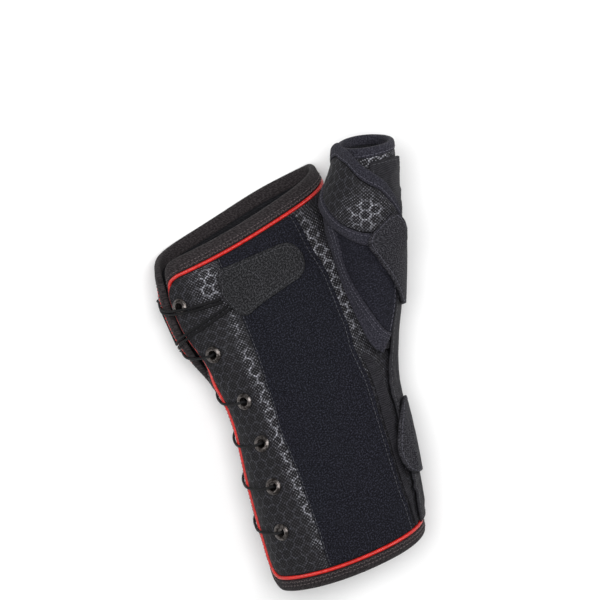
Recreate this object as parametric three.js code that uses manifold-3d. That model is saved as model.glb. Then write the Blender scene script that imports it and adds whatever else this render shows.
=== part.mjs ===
// Thumb spica splint for a right hand: a padded sleeve laced along the little-finger side, with a thumb
// sleeve, a stay cover down the thumb side and hook tabs. Millimetres, +Z up.
// The splint lies on the back of the hand. The origin is on the flat underside, below the wrist. +Y runs to
// the fingers, +X to the thumb, +Z to the palm side.
import * as THREE from 'three';
import { mergeVertices } from 'three/addons/utils/BufferGeometryUtils.js';
import Module from 'manifold-3d';

// Driving dimensions of the sleeve
const FOREARM_LENGTH = 88;
const PALM_LENGTH = 107.5;
const SLEEVE_WIDTH = 100;
const SLEEVE_DEPTH = 62;
const WALL = 3;
const UNDERSIDE_PRESS = 1.3;
const DISTAL_SLOPE = 0.305;
const DISTAL_REACH = 0.47;
const DISTAL_SHIFT = 0.11;
const DORSAL_RISE = 12;
const PROXIMAL_DIP = 8.5;
const PROXIMAL_LEAN = 20;
const RADIAL_SEAM_ANGLE = 96;
const CORNER_RADIUS = 9;

// Driving dimensions of the thumb sleeve
const THUMB_LENGTH = 127;
const THUMB_SPREAD = 64.5;
const THUMB_WIDTH = 36.4;
const THUMB_LIFT = 49.5;
const THUMB_DEPTH = 36;
const THUMB_RIM_TILT = 4;

// Trims, layers and fastenings
const GAP = 0.3;
const PIPING_DIAMETER = 2;
const DISTAL_BINDING = 8;
const PROXIMAL_BINDING = 6;
const LACED_BINDING = 5.5;
const THUMB_BINDING = 5.5;
const STRAP_BINDING = 6.5;
const BINDING_RISE = 0.6;
const LOOP_THICKNESS = 1.4;
const RIB_THICKNESS = 0.8;
const COVER_THICKNESS = 2;
const FLAP_THICKNESS = 2;
const STRAP_THICKNESS = 2;
const TAB_THICKNESS = 1.8;
const STRAP_FLARE = 4;
const EYELET_DIAMETER = 7.6;
const EYELET_HOLE = 4.2;
const EYELET_RISE = 0.8;
const EYELET_LIP = 0.35;
const EYELET_TUBE = 0.6;
const LACE_DIAMETER = 1.4;

// How finely the round forms are faceted
const PANEL_SPANS = 16;
const THUMB_SIDES = 20;
const LACE_SIDES = 8;
const PIPING_SIDES = 6;

// Sections across the hand. Station: share of FOREARM_LENGTH below the wrist, of PALM_LENGTH above it.
// Ulnar and radial reach from the centreline: shares of SLEEVE_WIDTH. Depth: share of SLEEVE_DEPTH.
// Crown, the height of the widest place: share of the depth.
const HAND_SECTIONS = [
  // station, ulnar, radial, depth, crown
  [-1.0, 0.438, 0.375, 0.95, 0.5],
  [-0.67, 0.442, 0.408, 1.0, 0.5],
  [-0.34, 0.44, 0.434, 0.98, 0.5],
  [0.0, 0.426, 0.452, 0.9, 0.5],
  [0.14, 0.44, 0.48, 0.87, 0.49],
  [0.27, 0.484, 0.508, 0.84, 0.48],
  [0.39, 0.545, 0.515, 0.81, 0.48],
  [0.53, 0.594, 0.5, 0.775, 0.48],
  [0.69, 0.614, 0.465, 0.73, 0.48],
  [0.83, 0.604, 0.43, 0.7, 0.48],
  [0.97, 0.578, 0.4, 0.67, 0.48],
  [1.17, 0.53, 0.35, 0.63, 0.48],
];
const PALM_ROUNDNESS = 2.4;
const BACK_ROUNDNESS = 3;

// Sections across the thumb. Station: share of THUMB_LENGTH from the wrist. Side: share of THUMB_SPREAD.
// Half width: share of THUMB_WIDTH. Lift: share of THUMB_LIFT. Half depth: share of THUMB_DEPTH.
const THUMB_SECTIONS = [
  // station, side, half width, lift, half depth
  [-0.16, 0.58, 0.15, 0.585, 0.2],
  [0.0, 0.59, 0.21, 0.585, 0.33],
  [0.1, 0.62, 0.23, 0.58, 0.38],
  [0.21, 0.66, 0.26, 0.605, 0.43],
  [0.34, 0.716, 0.333, 0.655, 0.485],
  [0.47, 0.755, 0.402, 0.697, 0.5],
  [0.59, 0.786, 0.457, 0.747, 0.5],
  [0.73, 0.829, 0.505, 0.828, 0.486],
  [0.82, 0.873, 0.504, 0.879, 0.472],
  [0.88, 0.921, 0.478, 0.919, 0.458],
  [0.945, 0.967, 0.437, 0.96, 0.444],
  [1.03, 1.0, 0.39, 1.0, 0.43],
];

// The two laced lines: where each panel's fabric ends at its piping, as angles round the section. Zero is the
// palm's middle, positive to the thumb, and the back of the hand is at 180.
const LACED_LINES = [
  // share along the sleeve, palmar angle, dorsal angle
  [0.0, -76, 243],
  [0.5, -76, 245],
  [0.57, -75, 250],
  [0.62, -70, 255],
  [0.67, -62, 262],
  [0.72, -59, 269],
  [0.78, -60.5, 272],
  [0.86, -61.5, 271.5],
  [1.0, -61.5, 271.5],
];

// The palmar laced edge rolls in beside the knuckles, so that the dorsal edge shows past it.
const ROLL_START = 0.6;
const ROLL_FULL = 0.7;
const ROLL_ANGLE = 45;
const ROLL_EASE = 8;
const ROLL_LAST = 0.03;
const ROLL_SHARE = 0.75;
const ROLL_DEPTH = 4.5;

// Outlines sewn on the palm: edges from the centreline, shares of SLEEVE_WIDTH.
const LOOP_PANEL = [
  // share along the sleeve, ulnar edge, radial edge
  [0.06, -0.137, 0.328],
  [0.2, -0.15, 0.325],
  [0.35, -0.168, 0.322],
  [0.45, -0.188, 0.314],
  [0.58, -0.192, 0.29],
  [0.7, -0.207, 0.28],
  [0.82, -0.232, 0.235],
  [0.94, -0.26, 0.18],
];
const RIB_PANEL = [
  // share along the sleeve, ulnar edge, radial edge
  [0.06, 0.345, 0.355],
  [0.2, 0.342, 0.372],
  [0.35, 0.339, 0.385],
  [0.45, 0.331, 0.39],
  [0.5, 0.322, 0.375],
  [0.53, 0.316, 0.345],
];

// The stay cover, from the elbow end to the thumb's rim. Angles on the hand's section and on the thumb's.
const STAY_COVER = [
  // distance from the wrist as a share of THUMB_LENGTH, hand from, hand to, thumb from, thumb to
  [-0.6, 64, 112, 40, 112],
  [-0.36, 63, 115, 40, 115],
  [-0.1, 59, 118, 40, 118],
  [0.06, 60, 120, 40, 120],
  [0.2, 66, 120, 44, 120],
  [0.34, 74, 120, 55, 120],
  [0.47, 76, 120, 52, 120],
  [0.6, 76, 120, 40, 120],
  [0.75, 76, 120, 22, 120],
  [0.89, 76, 120, 7, 120],
];
const COVER_BLEND_START = 6;
const COVER_BLEND_END = 26;
const COVER_SHORT = 4;
const COVER_SEAT = 0.7;

// The thumb sleeve starts inside the palm, and the forms that cut it run past its ends.
const THUMB_ROOT_SHARE = 0.15;
const PAST_THE_END = 1.12;

// The flap over the ball of the thumb, and the strap round the thumb's root. Angles on the thumb's section.
const FLAP_SEAT = 0.5;
const FLAP_TURN = 8;
const FLAP_EDGE = [
  // share of THUMB_LENGTH, free edge
  [0.145, 14],
  [0.165, -5],
  [0.2, -22],
  [0.28, -42],
  [0.38, -60],
  [0.49, -74],
  [0.61, -78],
  [0.73, -78],
  [0.82, -74],
];
const STRAP_LEAVES = -130;
const STRAP_STANDS = -98;
const STRAP_LANDS = -25;
const STRAP_EDGES = [
  // angle, lower edge and upper edge as shares of THUMB_LENGTH
  [-178, 0.79, 0.95],
  [-150, 0.82, 0.965],
  [-120, 0.845, 0.985],
  [-90, 0.825, 1.01],
  [-60, 0.745, 1.02],
  [-44, 0.69, 0.998],
  [-27, 0.635, 0.968],
  [-7, 0.593, 0.908],
  [10, 0.575, 0.866],
  [26, 0.572, 0.827],
  [44, 0.58, 0.764],
  [56, 0.595, 0.7],
];
const TAB_NOSE = 0.012;
const THUMB_TAB = [
  // share of THUMB_LENGTH, from angle, to angle
  [0.315, 66, 84],
  [0.34, 57, 104],
  [0.475, 22, 114],
  [0.57, 3, 115],
  [0.6, 1, 112],
  [0.63, 10, 107],
  [0.665, 33, 98],
  [0.68, 52, 84],
];
const FOREARM_TAB = [
  // share of FOREARM_LENGTH, from angle, to angle
  [-0.525, 68, 96],
  [-0.5, 57, 108],
  [-0.4, 49, 116],
  [-0.3, 50, 118],
  [-0.19, 55, 116],
  [-0.11, 63, 110],
  [-0.075, 74, 98],
];
const PULL_TAB = [
  // across the palm as a share of SLEEVE_WIDTH, lower and upper edge as shares of PALM_LENGTH
  [-0.29, 0.67, 0.735],
  [-0.275, 0.615, 0.773],
  [-0.21, 0.53, 0.784],
  [-0.1, 0.563, 0.797],
  [0.0, 0.595, 0.809],
  [0.08, 0.621, 0.817],
  [0.125, 0.635, 0.808],
  [0.155, 0.66, 0.78],
  [0.173, 0.693, 0.742],
];

// Eyelets down the two laced edges.
const DORSAL_EYELET_STEP = 0.02;
const EYELETS = [
  // share along the sleeve, palmar angle, dorsal angle
  [0.865, -52, 256],
  [0.706, -46, 254],
  [0.554, -46, 234],
  [0.426, -42, 229],
  [0.302, -40.5, 227],
  [0.172, -44, 227],
];

// Lace strands, as places on the sleeve: where the four come out from under the pull tab, and where three
// of them pass under the dorsal edge. The crossings start a few degrees away from their eyelets.
const LACE_STARTS = [
  // share along the sleeve, angle
  [0.839, -24.4],
  [0.829, -24.2],
  [0.813, -22.2],
  [0.803, -21],
];
const LACE_TUCKS = [
  // share along the sleeve, angle
  [0.87, -88],
  [0.756, -89],
  [0.742, -90],
];
const LACE_STEP_AWAY = 6;
const LACE_TURN = [3, 5];

// Colours and surface finishes seen in the photograph.
const LOOP_BLACK = { color: 0x1b1b22, roughness: 0.98, metalness: 0 };
const PRINT_BLACK = { color: 0x27262c, roughness: 0.7, metalness: 0 };
const TAPE_BROWN = { color: 0x37312f, roughness: 0.85, metalness: 0 };
const TAPE_BLUE = { color: 0x343340, roughness: 0.85, metalness: 0 };
const HOOK_GREY = { color: 0x2c2b33, roughness: 0.95, metalness: 0 };
const RIB_BLACK = { color: 0x2b2a31, roughness: 0.8, metalness: 0 };
const PIPING_RED = { color: 0xc8201c, roughness: 0.45, metalness: 0 };
const GUNMETAL = { color: 0x6a6664, roughness: 0.35, metalness: 0.9 };
const LACE_BLACK = { color: 0x18181b, roughness: 0.7, metalness: 0 };

const { degToRad, lerp, clamp, smoothstep } = THREE.MathUtils;

/** The columns of a table at one share, on a smooth curve through its rows. */
function readTable(rows, at) {
  const last = rows.length - 1;
  let i = 0;
  while (i < last - 1 && at > rows[i + 1][0]) {
    i += 1;
  }
  const [a, b] = [rows[i], rows[i + 1]];
  const before = i > 0 ? rows[i - 1] : a;
  const after = i + 1 < last ? rows[i + 2] : b;
  const span = b[0] - a[0];
  const t = clamp((at - a[0]) / span, 0, 1);
  return a.slice(1).map((value, k) => {
    const slopeA = ((b[k + 1] - before[k + 1]) / (b[0] - before[0])) * span;
    const slopeB = ((after[k + 1] - value) / (after[0] - a[0])) * span;
    const bend = t * t * (3 - 2 * t);
    return lerp(value, b[k + 1], bend) + slopeA * t * (1 - t) ** 2 - slopeB * t * t * (1 - t);
  });
}

/** Evenly spaced values from one to another, both included. */
function steps(from, to, count) {
  return Array.from({ length: count + 1 }, (_, i) => lerp(from, to, i / count));
}

/** The hand's section at a distance from the wrist. */
function handSection(y) {
  const [ulnar, radial, depth, crown] = readTable(HAND_SECTIONS, y / (y < 0 ? FOREARM_LENGTH : PALM_LENGTH));
  return {
    centre: ((radial - ulnar) / 2) * SLEEVE_WIDTH,
    half: ((radial + ulnar) / 2) * SLEEVE_WIDTH,
    crown: depth * crown * SLEEVE_DEPTH,
    top: depth * (1 - crown) * SLEEVE_DEPTH,
  };
}

/** A point of the hand's surface, moved out by a distance. The underside is pressed flat. */
function handAt(y, angle, out) {
  const section = handSection(y);
  const [s, c] = [Math.sin(degToRad(angle)), Math.cos(degToRad(angle))];
  const roundness = lerp(BACK_ROUNDNESS, PALM_ROUNDNESS, smoothstep(c, -0.3, 0.3));
  const reach = (Math.abs(s) ** roundness + Math.abs(c) ** roundness) ** (-1 / roundness);
  const height = c > 0 ? section.top + out : section.crown + out + UNDERSIDE_PRESS;
  const x = section.centre + (section.half + out) * reach * s;
  const z = section.crown + height * reach * c;
  return new THREE.Vector3(x, y, Math.max(z, Math.max(-out, 0)));
}

function distalEnd(angle) {
  const side = (DISTAL_REACH * Math.sin(degToRad(angle)) - DISTAL_SHIFT) * SLEEVE_WIDTH;
  return PALM_LENGTH + DISTAL_SLOPE * side + (DORSAL_RISE / 2) * (1 - Math.cos(degToRad(angle)));
}

function proximalEnd(angle) {
  return PROXIMAL_DIP * (1 - Math.cos(degToRad(angle + PROXIMAL_LEAN))) - FOREARM_LENGTH;
}

/** A point of the sleeve by its share from the elbow end's edge to the finger end's edge. */
function sleevePoint(share, angle, out) {
  return handAt(lerp(proximalEnd(angle), distalEnd(angle), share), angle, out);
}

/** The angle at which the sleeve's palm side lies at a distance from the centreline. */
function angleAcross(share, side) {
  let angle = 0;
  for (let turn = 0; turn < 4; turn += 1) {
    const section = handSection(lerp(proximalEnd(angle), distalEnd(angle), share));
    const reach = clamp((side - section.centre) / section.half, -0.99, 0.99);
    const rise = (1 - Math.abs(reach) ** PALM_ROUNDNESS) ** (1 / PALM_ROUNDNESS);
    angle = THREE.MathUtils.radToDeg(Math.atan2(reach, rise));
  }
  return angle;
}

/** The height of the palm side over a place in plan. */
function palmHeight(x, y) {
  const section = handSection(y);
  const reach = Math.min(Math.abs(x - section.centre) / section.half, 1);
  return section.crown + section.top * (1 - reach ** PALM_ROUNDNESS) ** (1 / PALM_ROUNDNESS);
}

/** A point of the thumb's surface, moved out by a distance. */
function thumbAt(y, angle, out) {
  const [side, width, lift, depth] = readTable(THUMB_SECTIONS, y / THUMB_LENGTH);
  return new THREE.Vector3(
    side * THUMB_SPREAD + (width * THUMB_WIDTH + out) * Math.sin(degToRad(angle)),
    y,
    lift * THUMB_LIFT + (depth * THUMB_DEPTH + out) * Math.cos(degToRad(angle)),
  );
}

function thumbRim(angle) {
  return THUMB_LENGTH - THUMB_RIM_TILT * (Math.cos(degToRad(angle)) + Math.sin(degToRad(angle)) / 2);
}

/** The thumb's surface where it stands above the palm, and the palm's where it doesn't. */
function ballAt(y, angle, out) {
  const point = thumbAt(y, angle, out);
  if (Math.cos(degToRad(angle)) > 0) {
    point.z = Math.max(point.z, palmHeight(point.x, y) + out);
  }
  return point;
}

/** One closed solid between two grids of points. */
function gridSolid(outer, inner, closed = false) {
  const [rows, columns] = [outer.length, outer[0].length];
  const position = [...outer.flat(), ...inner.flat()].flatMap((p) => [p.x, p.y, p.z]);
  const index = [];
  const quad = (a, b, c, d) => index.push(a, b, c, a, c, d);
  const at = (layer, i, j) => layer * rows * columns + i * columns + (j % columns);
  const spans = closed ? columns : columns - 1;
  for (let i = 0; i < rows - 1; i += 1) {
    for (let j = 0; j < spans; j += 1) {
      quad(at(0, i, j), at(0, i, j + 1), at(0, i + 1, j + 1), at(0, i + 1, j));
      quad(at(1, i, j), at(1, i + 1, j), at(1, i + 1, j + 1), at(1, i, j + 1));
    }
    if (!closed) {
      quad(at(0, i, 0), at(0, i + 1, 0), at(1, i + 1, 0), at(1, i, 0));
      quad(at(0, i, spans), at(1, i, spans), at(1, i + 1, spans), at(0, i + 1, spans));
    }
  }
  for (let j = 0; j < spans; j += 1) {
    quad(at(0, 0, j), at(1, 0, j), at(1, 0, j + 1), at(0, 0, j + 1));
    quad(at(0, rows - 1, j), at(0, rows - 1, j + 1), at(1, rows - 1, j + 1), at(1, rows - 1, j));
  }
  const geometry = new THREE.BufferGeometry();
  geometry.setAttribute('position', new THREE.Float32BufferAttribute(position, 3));
  geometry.setIndex(index);
  return facingOut(geometry);
}

/** Turns a closed geometry inside out if its faces point inwards. */
function facingOut(geometry) {
  const [p, order] = [geometry.attributes.position, geometry.index.array];
  const [a, b, c] = [new THREE.Vector3(), new THREE.Vector3(), new THREE.Vector3()];
  let volume = 0;
  for (let i = 0; i < order.length; i += 3) {
    a.fromBufferAttribute(p, order[i]);
    b.fromBufferAttribute(p, order[i + 1]);
    c.fromBufferAttribute(p, order[i + 2]);
    volume += a.dot(b.cross(c));
  }
  if (volume < 0) {
    geometry.setIndex([...order].reverse());
  }
  return geometry;
}

/** A layer on a surface: rows along it, each from one edge to the other, between two distances out. */
function layer({ along, edges, across, surface, inner, outer, closed = false }) {
  const grid = (out) => along.map((at) => {
    const [from, to] = edges(at);
    const places = steps(from, to, across);
    if (closed) {
      places.pop();
    }
    return places.map((place) => surface(at, place, out));
  });
  return gridSolid(grid(outer), grid(inner), closed);
}

/** Millimetres for a degree round the sleeve and for a whole share along it. */
function sleeveScale(share, angle) {
  const round = sleevePoint(share, angle + 1, 0).distanceTo(sleevePoint(share, angle - 1, 0)) / 2;
  return { round, along: distalEnd(angle) - proximalEnd(angle) };
}

const SEAM_WIDTH = PIPING_DIAMETER + 2 * GAP;
const SLEEVE_RUN = distalEnd(0) - proximalEnd(0);
const PANEL_START = (PROXIMAL_BINDING + SEAM_WIDTH) / SLEEVE_RUN;
const PANEL_END = 1 - (DISTAL_BINDING + SEAM_WIDTH) / SLEEVE_RUN;

/** Shares along a panel, close together where its corners turn. */
function panelShares() {
  const turn = steps(0, 90, 4).map((angle) => (CORNER_RADIUS * (1 - Math.cos(degToRad(angle)))) / SLEEVE_RUN);
  const [start, end] = [PANEL_START + turn[4], PANEL_END - turn[4]];
  const middle = steps(start, end, 12).slice(1, -1);
  return [...turn.map((t) => PANEL_START + t), ...middle, ...turn.reverse().map((t) => PANEL_END - t)];
}

/** How far a rounded corner draws a panel's edge in, in millimetres. */
function cornerInset(share) {
  const reach = Math.min(share - PANEL_START, PANEL_END - share) * SLEEVE_RUN;
  const short = CORNER_RADIUS - clamp(reach, 0, CORNER_RADIUS);
  return CORNER_RADIUS - Math.sqrt(CORNER_RADIUS ** 2 - short ** 2);
}

function palmarLine(share) {
  const [angle] = readTable(LACED_LINES, share);
  return angle + cornerInset(share) / sleeveScale(share, angle).round;
}

function dorsalLine(share) {
  const [, angle] = readTable(LACED_LINES, share);
  return angle - cornerInset(share) / sleeveScale(share, angle).round;
}

/** The free edge of a panel as places on the sleeve: its finger end, its laced line and its elbow end. */
function freeEdge(line, seamAngle) {
  const shares = panelShares().reverse();
  const finger = steps(seamAngle, line(PANEL_END), 12).slice(0, -1);
  const elbow = steps(line(PANEL_START), seamAngle, 9).slice(1);
  return [
    ...finger.map((angle) => ({ share: PANEL_END, angle })),
    ...shares.map((share) => ({ share, angle: line(share) })),
    ...elbow.map((angle) => ({ share: PANEL_START, angle })),
  ];
}

/** The same edge moved away from its panel, square to its own direction. */
function movedOut(edge, distance, turn) {
  return edge.map((place, i) => {
    const [a, b] = [edge[Math.max(i - 1, 0)], edge[Math.min(i + 1, edge.length - 1)]];
    const scale = sleeveScale(place.share, place.angle);
    const run = new THREE.Vector2((b.angle - a.angle) * scale.round, (b.share - a.share) * scale.along);
    const side = run.normalize().rotateAround(new THREE.Vector2(), degToRad(90 * turn));
    const reach = typeof distance === 'number' ? distance : distance(place);
    const end = i === 0 || i === edge.length - 1 ? 0 : side.x;
    return {
      share: place.share + (side.y * reach) / scale.along,
      angle: place.angle + (end * reach) / scale.round,
    };
  });
}

/** The binding's width at a place of a panel's edge: wide at the fingers, narrow down the laced line. */
function bindingWidth(place) {
  const fromFinger = (PANEL_END - place.share) * SLEEVE_RUN;
  const fromElbow = (place.share - PANEL_START) * SLEEVE_RUN;
  const finger = smoothstep(fromFinger, 0, CORNER_RADIUS);
  const elbow = smoothstep(fromElbow, 0, CORNER_RADIUS);
  return lerp(DISTAL_BINDING, LACED_BINDING, finger) + (PROXIMAL_BINDING - LACED_BINDING) * (1 - elbow);
}

/** How far the palmar laced edge rolls in under itself beside the knuckles, from none to full. */
function edgeRoll(place) {
  const start = smoothstep(place.share, ROLL_START, ROLL_FULL);
  const end = smoothstep(place.share, PANEL_END - ROLL_LAST, PANEL_END);
  return start * (1 - end) * smoothstep(-place.angle, ROLL_ANGLE, ROLL_ANGLE + ROLL_EASE);
}

/** The tape round a panel's free edge. */
function edgeBinding(edge, turn, roll) {
  const near = movedOut(edge, SEAM_WIDTH, turn);
  const reach = (place) => SEAM_WIDTH + bindingWidth(place) * (1 - ROLL_SHARE * roll(place));
  const far = movedOut(edge, reach, turn);
  const rows = (out) => near.map((place, i) => [
    sleevePoint(place.share, place.angle, out),
    sleevePoint(far[i].share, far[i].angle, out - ROLL_DEPTH * roll(edge[i])),
  ]);
  return gridSolid(rows(BINDING_RISE), rows(-WALL));
}

/** A curve through chosen points that keeps each of them as one step. */
class Route extends THREE.Curve {
  constructor(points) {
    super();
    this.points = points;
  }

  getPoint(t, target = new THREE.Vector3()) {
    const last = this.points.length - 1;
    const i = Math.min(Math.floor(t * last), last - 1);
    return target.lerpVectors(this.points[i], this.points[i + 1], t * last - i);
  }

  getPointAt(u, target) {
    return this.getPoint(u, target);
  }

  getTangentAt(u, target = new THREE.Vector3()) {
    const last = this.points.length - 1;
    const i = Math.round(u * last);
    const [a, b] = [this.points[Math.max(i - 1, 0)], this.points[Math.min(i + 1, last)]];
    return target.subVectors(b, a).normalize();
  }
}

/** A round cord with an even number of sides along chosen points. */
function cord(points, diameter, sides) {
  const section = new THREE.Shape(steps(0, 360, sides).slice(0, -1).map((angle) => new THREE.Vector2(
    (diameter / 2) * Math.cos(degToRad(angle)),
    (diameter / 2) * Math.sin(degToRad(angle)),
  )));
  const geometry = new THREE.ExtrudeGeometry(section, {
    steps: points.length - 1,
    extrudePath: new Route(points),
    bevelEnabled: false,
    curveSegments: 1,
  });
  return welded(geometry);
}

/** The geometry with shared corners merged and nothing but positions kept. */
function welded(geometry) {
  geometry.deleteAttribute('normal');
  geometry.deleteAttribute('uv');
  return facingOut(mergeVertices(geometry, 1e-4));
}

/** The piping beside a panel's free edge, kept just above the surface that the sleeve lies on. */
function piping(edge, turn) {
  const radius = PIPING_DIAMETER / 2;
  const points = movedOut(edge, GAP + radius, turn).map((place) => {
    const point = sleevePoint(place.share, place.angle, -radius / 4);
    point.z = Math.max(point.z, radius + GAP);
    return point;
  });
  return cord(points, PIPING_DIAMETER, PIPING_SIDES);
}

const wasm = await Module();
wasm.setup();

function toSolid(geometry) {
  return new wasm.Manifold(new wasm.Mesh({
    numProp: 3,
    vertProperties: new Float32Array(geometry.attributes.position.array),
    triVerts: new Uint32Array(geometry.index.array),
  }));
}

function toGeometry(solid) {
  const mesh = solid.getMesh();
  const geometry = new THREE.BufferGeometry();
  geometry.setAttribute('position', new THREE.Float32BufferAttribute(mesh.vertProperties, 3));
  geometry.setIndex([...mesh.triVerts]);
  return geometry;
}

/** The hand's form from the wrist on as one solid, moved out by a distance. */
function handForm(out) {
  return plug(steps(0, THUMB_LENGTH, 16).map((y) => (
    steps(0, 360, 36).slice(0, -1).map((angle) => handAt(y, angle, out))
  )));
}

/** The thumb's form from its root past its rim as one solid, moved out by a distance. */
function thumbForm(out) {
  return plug(steps(THUMB_ROOT_SHARE, PAST_THE_END, 12).map((share) => (
    steps(0, 360, THUMB_SIDES).slice(0, -1).map((angle) => thumbAt(share * THUMB_LENGTH, angle, out))
  )));
}

/** A solid from closed rings of points, with a flat end at each. */
function plug(rings) {
  const columns = rings[0].length;
  const position = rings.flat().flatMap((p) => [p.x, p.y, p.z]);
  const index = [];
  for (let i = 0; i < rings.length - 1; i += 1) {
    for (let j = 0; j < columns; j += 1) {
      const [a, b] = [i * columns + j, i * columns + ((j + 1) % columns)];
      index.push(a, b, b + columns, a, b + columns, a + columns);
    }
  }
  const end = (rings.length - 1) * columns;
  for (let j = 1; j < columns - 1; j += 1) {
    index.push(0, j + 1, j, end, end + j, end + j + 1);
  }
  const geometry = new THREE.BufferGeometry();
  geometry.setAttribute('position', new THREE.Float32BufferAttribute(position, 3));
  geometry.setIndex(index);
  return facingOut(geometry);
}

/** Where an eyelet sits: its middle on the outer face and the direction out of the cloth. */
function eyeletSeat(share, angle) {
  const middle = sleevePoint(share, angle, 0);
  const round = sleevePoint(share, angle + 2, 0).sub(sleevePoint(share, angle - 2, 0));
  const along = sleevePoint(share + 0.01, angle, 0).sub(sleevePoint(share - 0.01, angle, 0));
  return { middle, out: round.cross(along).normalize() };
}

/** Places a geometry made along +Y so that it stands on a seat. */
function seated(geometry, seat) {
  geometry.applyQuaternion(new THREE.Quaternion().setFromUnitVectors(new THREE.Vector3(0, 1, 0), seat.out));
  return geometry.translate(seat.middle.x, seat.middle.y, seat.middle.z);
}

const EYELET_BARREL = EYELET_HOLE / 2 + EYELET_TUBE;
const EYELET_SEAT = GAP + EYELET_LIP;
const EYELET_TOP = EYELET_SEAT + EYELET_RISE;

/** An eyelet: a rolled flange on the cloth and a barrel down through it. */
function eyelet(seat) {
  const [flange, hole] = [EYELET_DIAMETER / 2, EYELET_HOLE / 2];
  const profile = [
    new THREE.Vector2(hole, -WALL),
    new THREE.Vector2(EYELET_BARREL, -WALL),
    new THREE.Vector2(EYELET_BARREL, EYELET_SEAT),
    new THREE.Vector2(flange, EYELET_SEAT),
    new THREE.Vector2(hole, EYELET_TOP),
    new THREE.Vector2(hole, -WALL),
  ];
  return seated(welded(new THREE.LatheGeometry(profile, 8)), seat);
}

/** The hole in the cloth that an eyelet's barrel goes through. */
function eyeletHole(seat) {
  const radius = EYELET_BARREL + 2 * GAP;
  return seated(welded(new THREE.CylinderGeometry(radius, radius, WALL * 4, 8)), seat);
}

const eyeletSeats = EYELETS.map(([share, palmar, dorsal]) => ({
  palmar: eyeletSeat(share, palmar),
  dorsal: eyeletSeat(share + DORSAL_EYELET_STEP, dorsal),
}));

/** The cloth of one half of the sleeve, with its share of the thumb's opening and its eyelet holes. */
function panel(edges, side) {
  const cloth = layer({
    along: panelShares(),
    edges,
    across: PANEL_SPANS,
    surface: sleevePoint,
    inner: -WALL,
    outer: 0,
  });
  const holes = eyeletSeats.map((seats) => toSolid(eyeletHole(seats[side])));
  return toGeometry(holes.reduce((left, hole) => left.subtract(hole), toSolid(cloth).subtract(thumbHollow)));
}

const THUMB_START = THUMB_ROOT_SHARE * THUMB_LENGTH;
const thumbHollow = toSolid(thumbForm(-WALL));
const handBlock = toSolid(handForm(GAP));

/** The tube round the thumb, from the hand's surface to its bound rim. */
function thumbSleeve() {
  const tube = layer({
    along: steps(0, 1, 12),
    edges: () => [0, 360],
    across: THUMB_SIDES,
    closed: true,
    surface: (share, angle, out) => (
      thumbAt(lerp(THUMB_START, thumbRim(angle) - THUMB_BINDING - GAP, share), angle, out)
    ),
    inner: -WALL,
    outer: 0,
  });
  return toGeometry(toSolid(tube).subtract(handBlock));
}

function thumbSleeveBinding() {
  return layer({
    along: [0, 1],
    edges: () => [0, 360],
    across: THUMB_SIDES,
    closed: true,
    surface: (share, angle, out) => thumbAt(thumbRim(angle) - THUMB_BINDING * (1 - share), angle, out),
    inner: -WALL,
    outer: BINDING_RISE,
  });
}

/** The stay cover passes from the hand's side to the thumb's, and its elbow end runs along the piping. */
function stayCover() {
  const start = proximalEnd(90) + PROXIMAL_BINDING + SEAM_WIDTH + GAP;
  const end = thumbRim(90) - THUMB_BINDING - 2 * GAP - COVER_SHORT;
  const surface = (share, across, out) => {
    const middle = lerp(start, end, share);
    const [handFrom, handTo, thumbFrom, thumbTo] = readTable(STAY_COVER, middle / THUMB_LENGTH);
    const handAngle = lerp(handFrom, handTo, across);
    const y = middle + (1 - share) ** 4 * (proximalEnd(handAngle) - proximalEnd(90));
    const onHand = handAt(y, handAngle, out);
    const onThumb = thumbAt(y, lerp(thumbFrom, thumbTo, across), out);
    return onHand.lerp(onThumb, smoothstep(y, COVER_BLEND_START, COVER_BLEND_END));
  };
  return layer({
    along: steps(0, 1, 22),
    edges: () => [0, 1],
    across: 5,
    surface,
    inner: COVER_SEAT,
    outer: COVER_SEAT + COVER_THICKNESS,
  });
}

/** The layers sewn flat on the palm: the loop panel and the ribbed panel beside it. */
function palmPatch(rows, along, across, thickness) {
  return layer({
    along,
    edges: (share) => readTable(rows, share).map((side) => angleAcross(share, side * SLEEVE_WIDTH)),
    across,
    surface: sleevePoint,
    inner: GAP,
    outer: GAP + thickness,
  });
}

/** The degrees that a width covers on the thumb at a place. */
function thumbDegrees(y, angle, width) {
  const twoDegrees = thumbAt(y, angle + 1, FLAP_THICKNESS).distanceTo(thumbAt(y, angle - 1, FLAP_THICKNESS));
  return (2 * width) / twoDegrees;
}

const FLAP_START = FLAP_EDGE[0][0] * THUMB_LENGTH;
const FLAP_END = FLAP_EDGE[FLAP_EDGE.length - 1][0] * THUMB_LENGTH;

function flapEdge(y) {
  return readTable(FLAP_EDGE, y / THUMB_LENGTH)[0];
}

function flapInner(y) {
  return readTable(STAY_COVER, y / THUMB_LENGTH)[2] - thumbDegrees(y, 45, 3 * GAP);
}

/** The flap's free edge and the same edge moved in, square to its own direction. */
function flapOutline(inset) {
  const turn = steps(FLAP_START, FLAP_START + FLAP_TURN, 4);
  const edge = [...turn, ...steps(FLAP_START + FLAP_TURN, FLAP_END, 9).slice(1)];
  return edge.map((y) => {
    const [before, after] = [Math.max(y - 1, FLAP_START), y + 1];
    const round = 1 / thumbDegrees(y, flapEdge(y), 1);
    const run = new THREE.Vector2((flapEdge(after) - flapEdge(before)) * round, after - before).normalize();
    return { y: y - run.x * inset, angle: flapEdge(y) + (run.y * inset) / round };
  });
}

/** A band of the flap between two lines of places. */
function flapBand(from, to, across, rise) {
  const grid = (out) => from.map((place, i) => steps(0, 1, across).map((t) => (
    ballAt(lerp(place.y, to[i].y, t), lerp(place.angle, to[i].angle, t), out)
  )));
  return gridSolid(grid(FLAP_SEAT + FLAP_THICKNESS + rise), grid(FLAP_SEAT));
}

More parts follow.
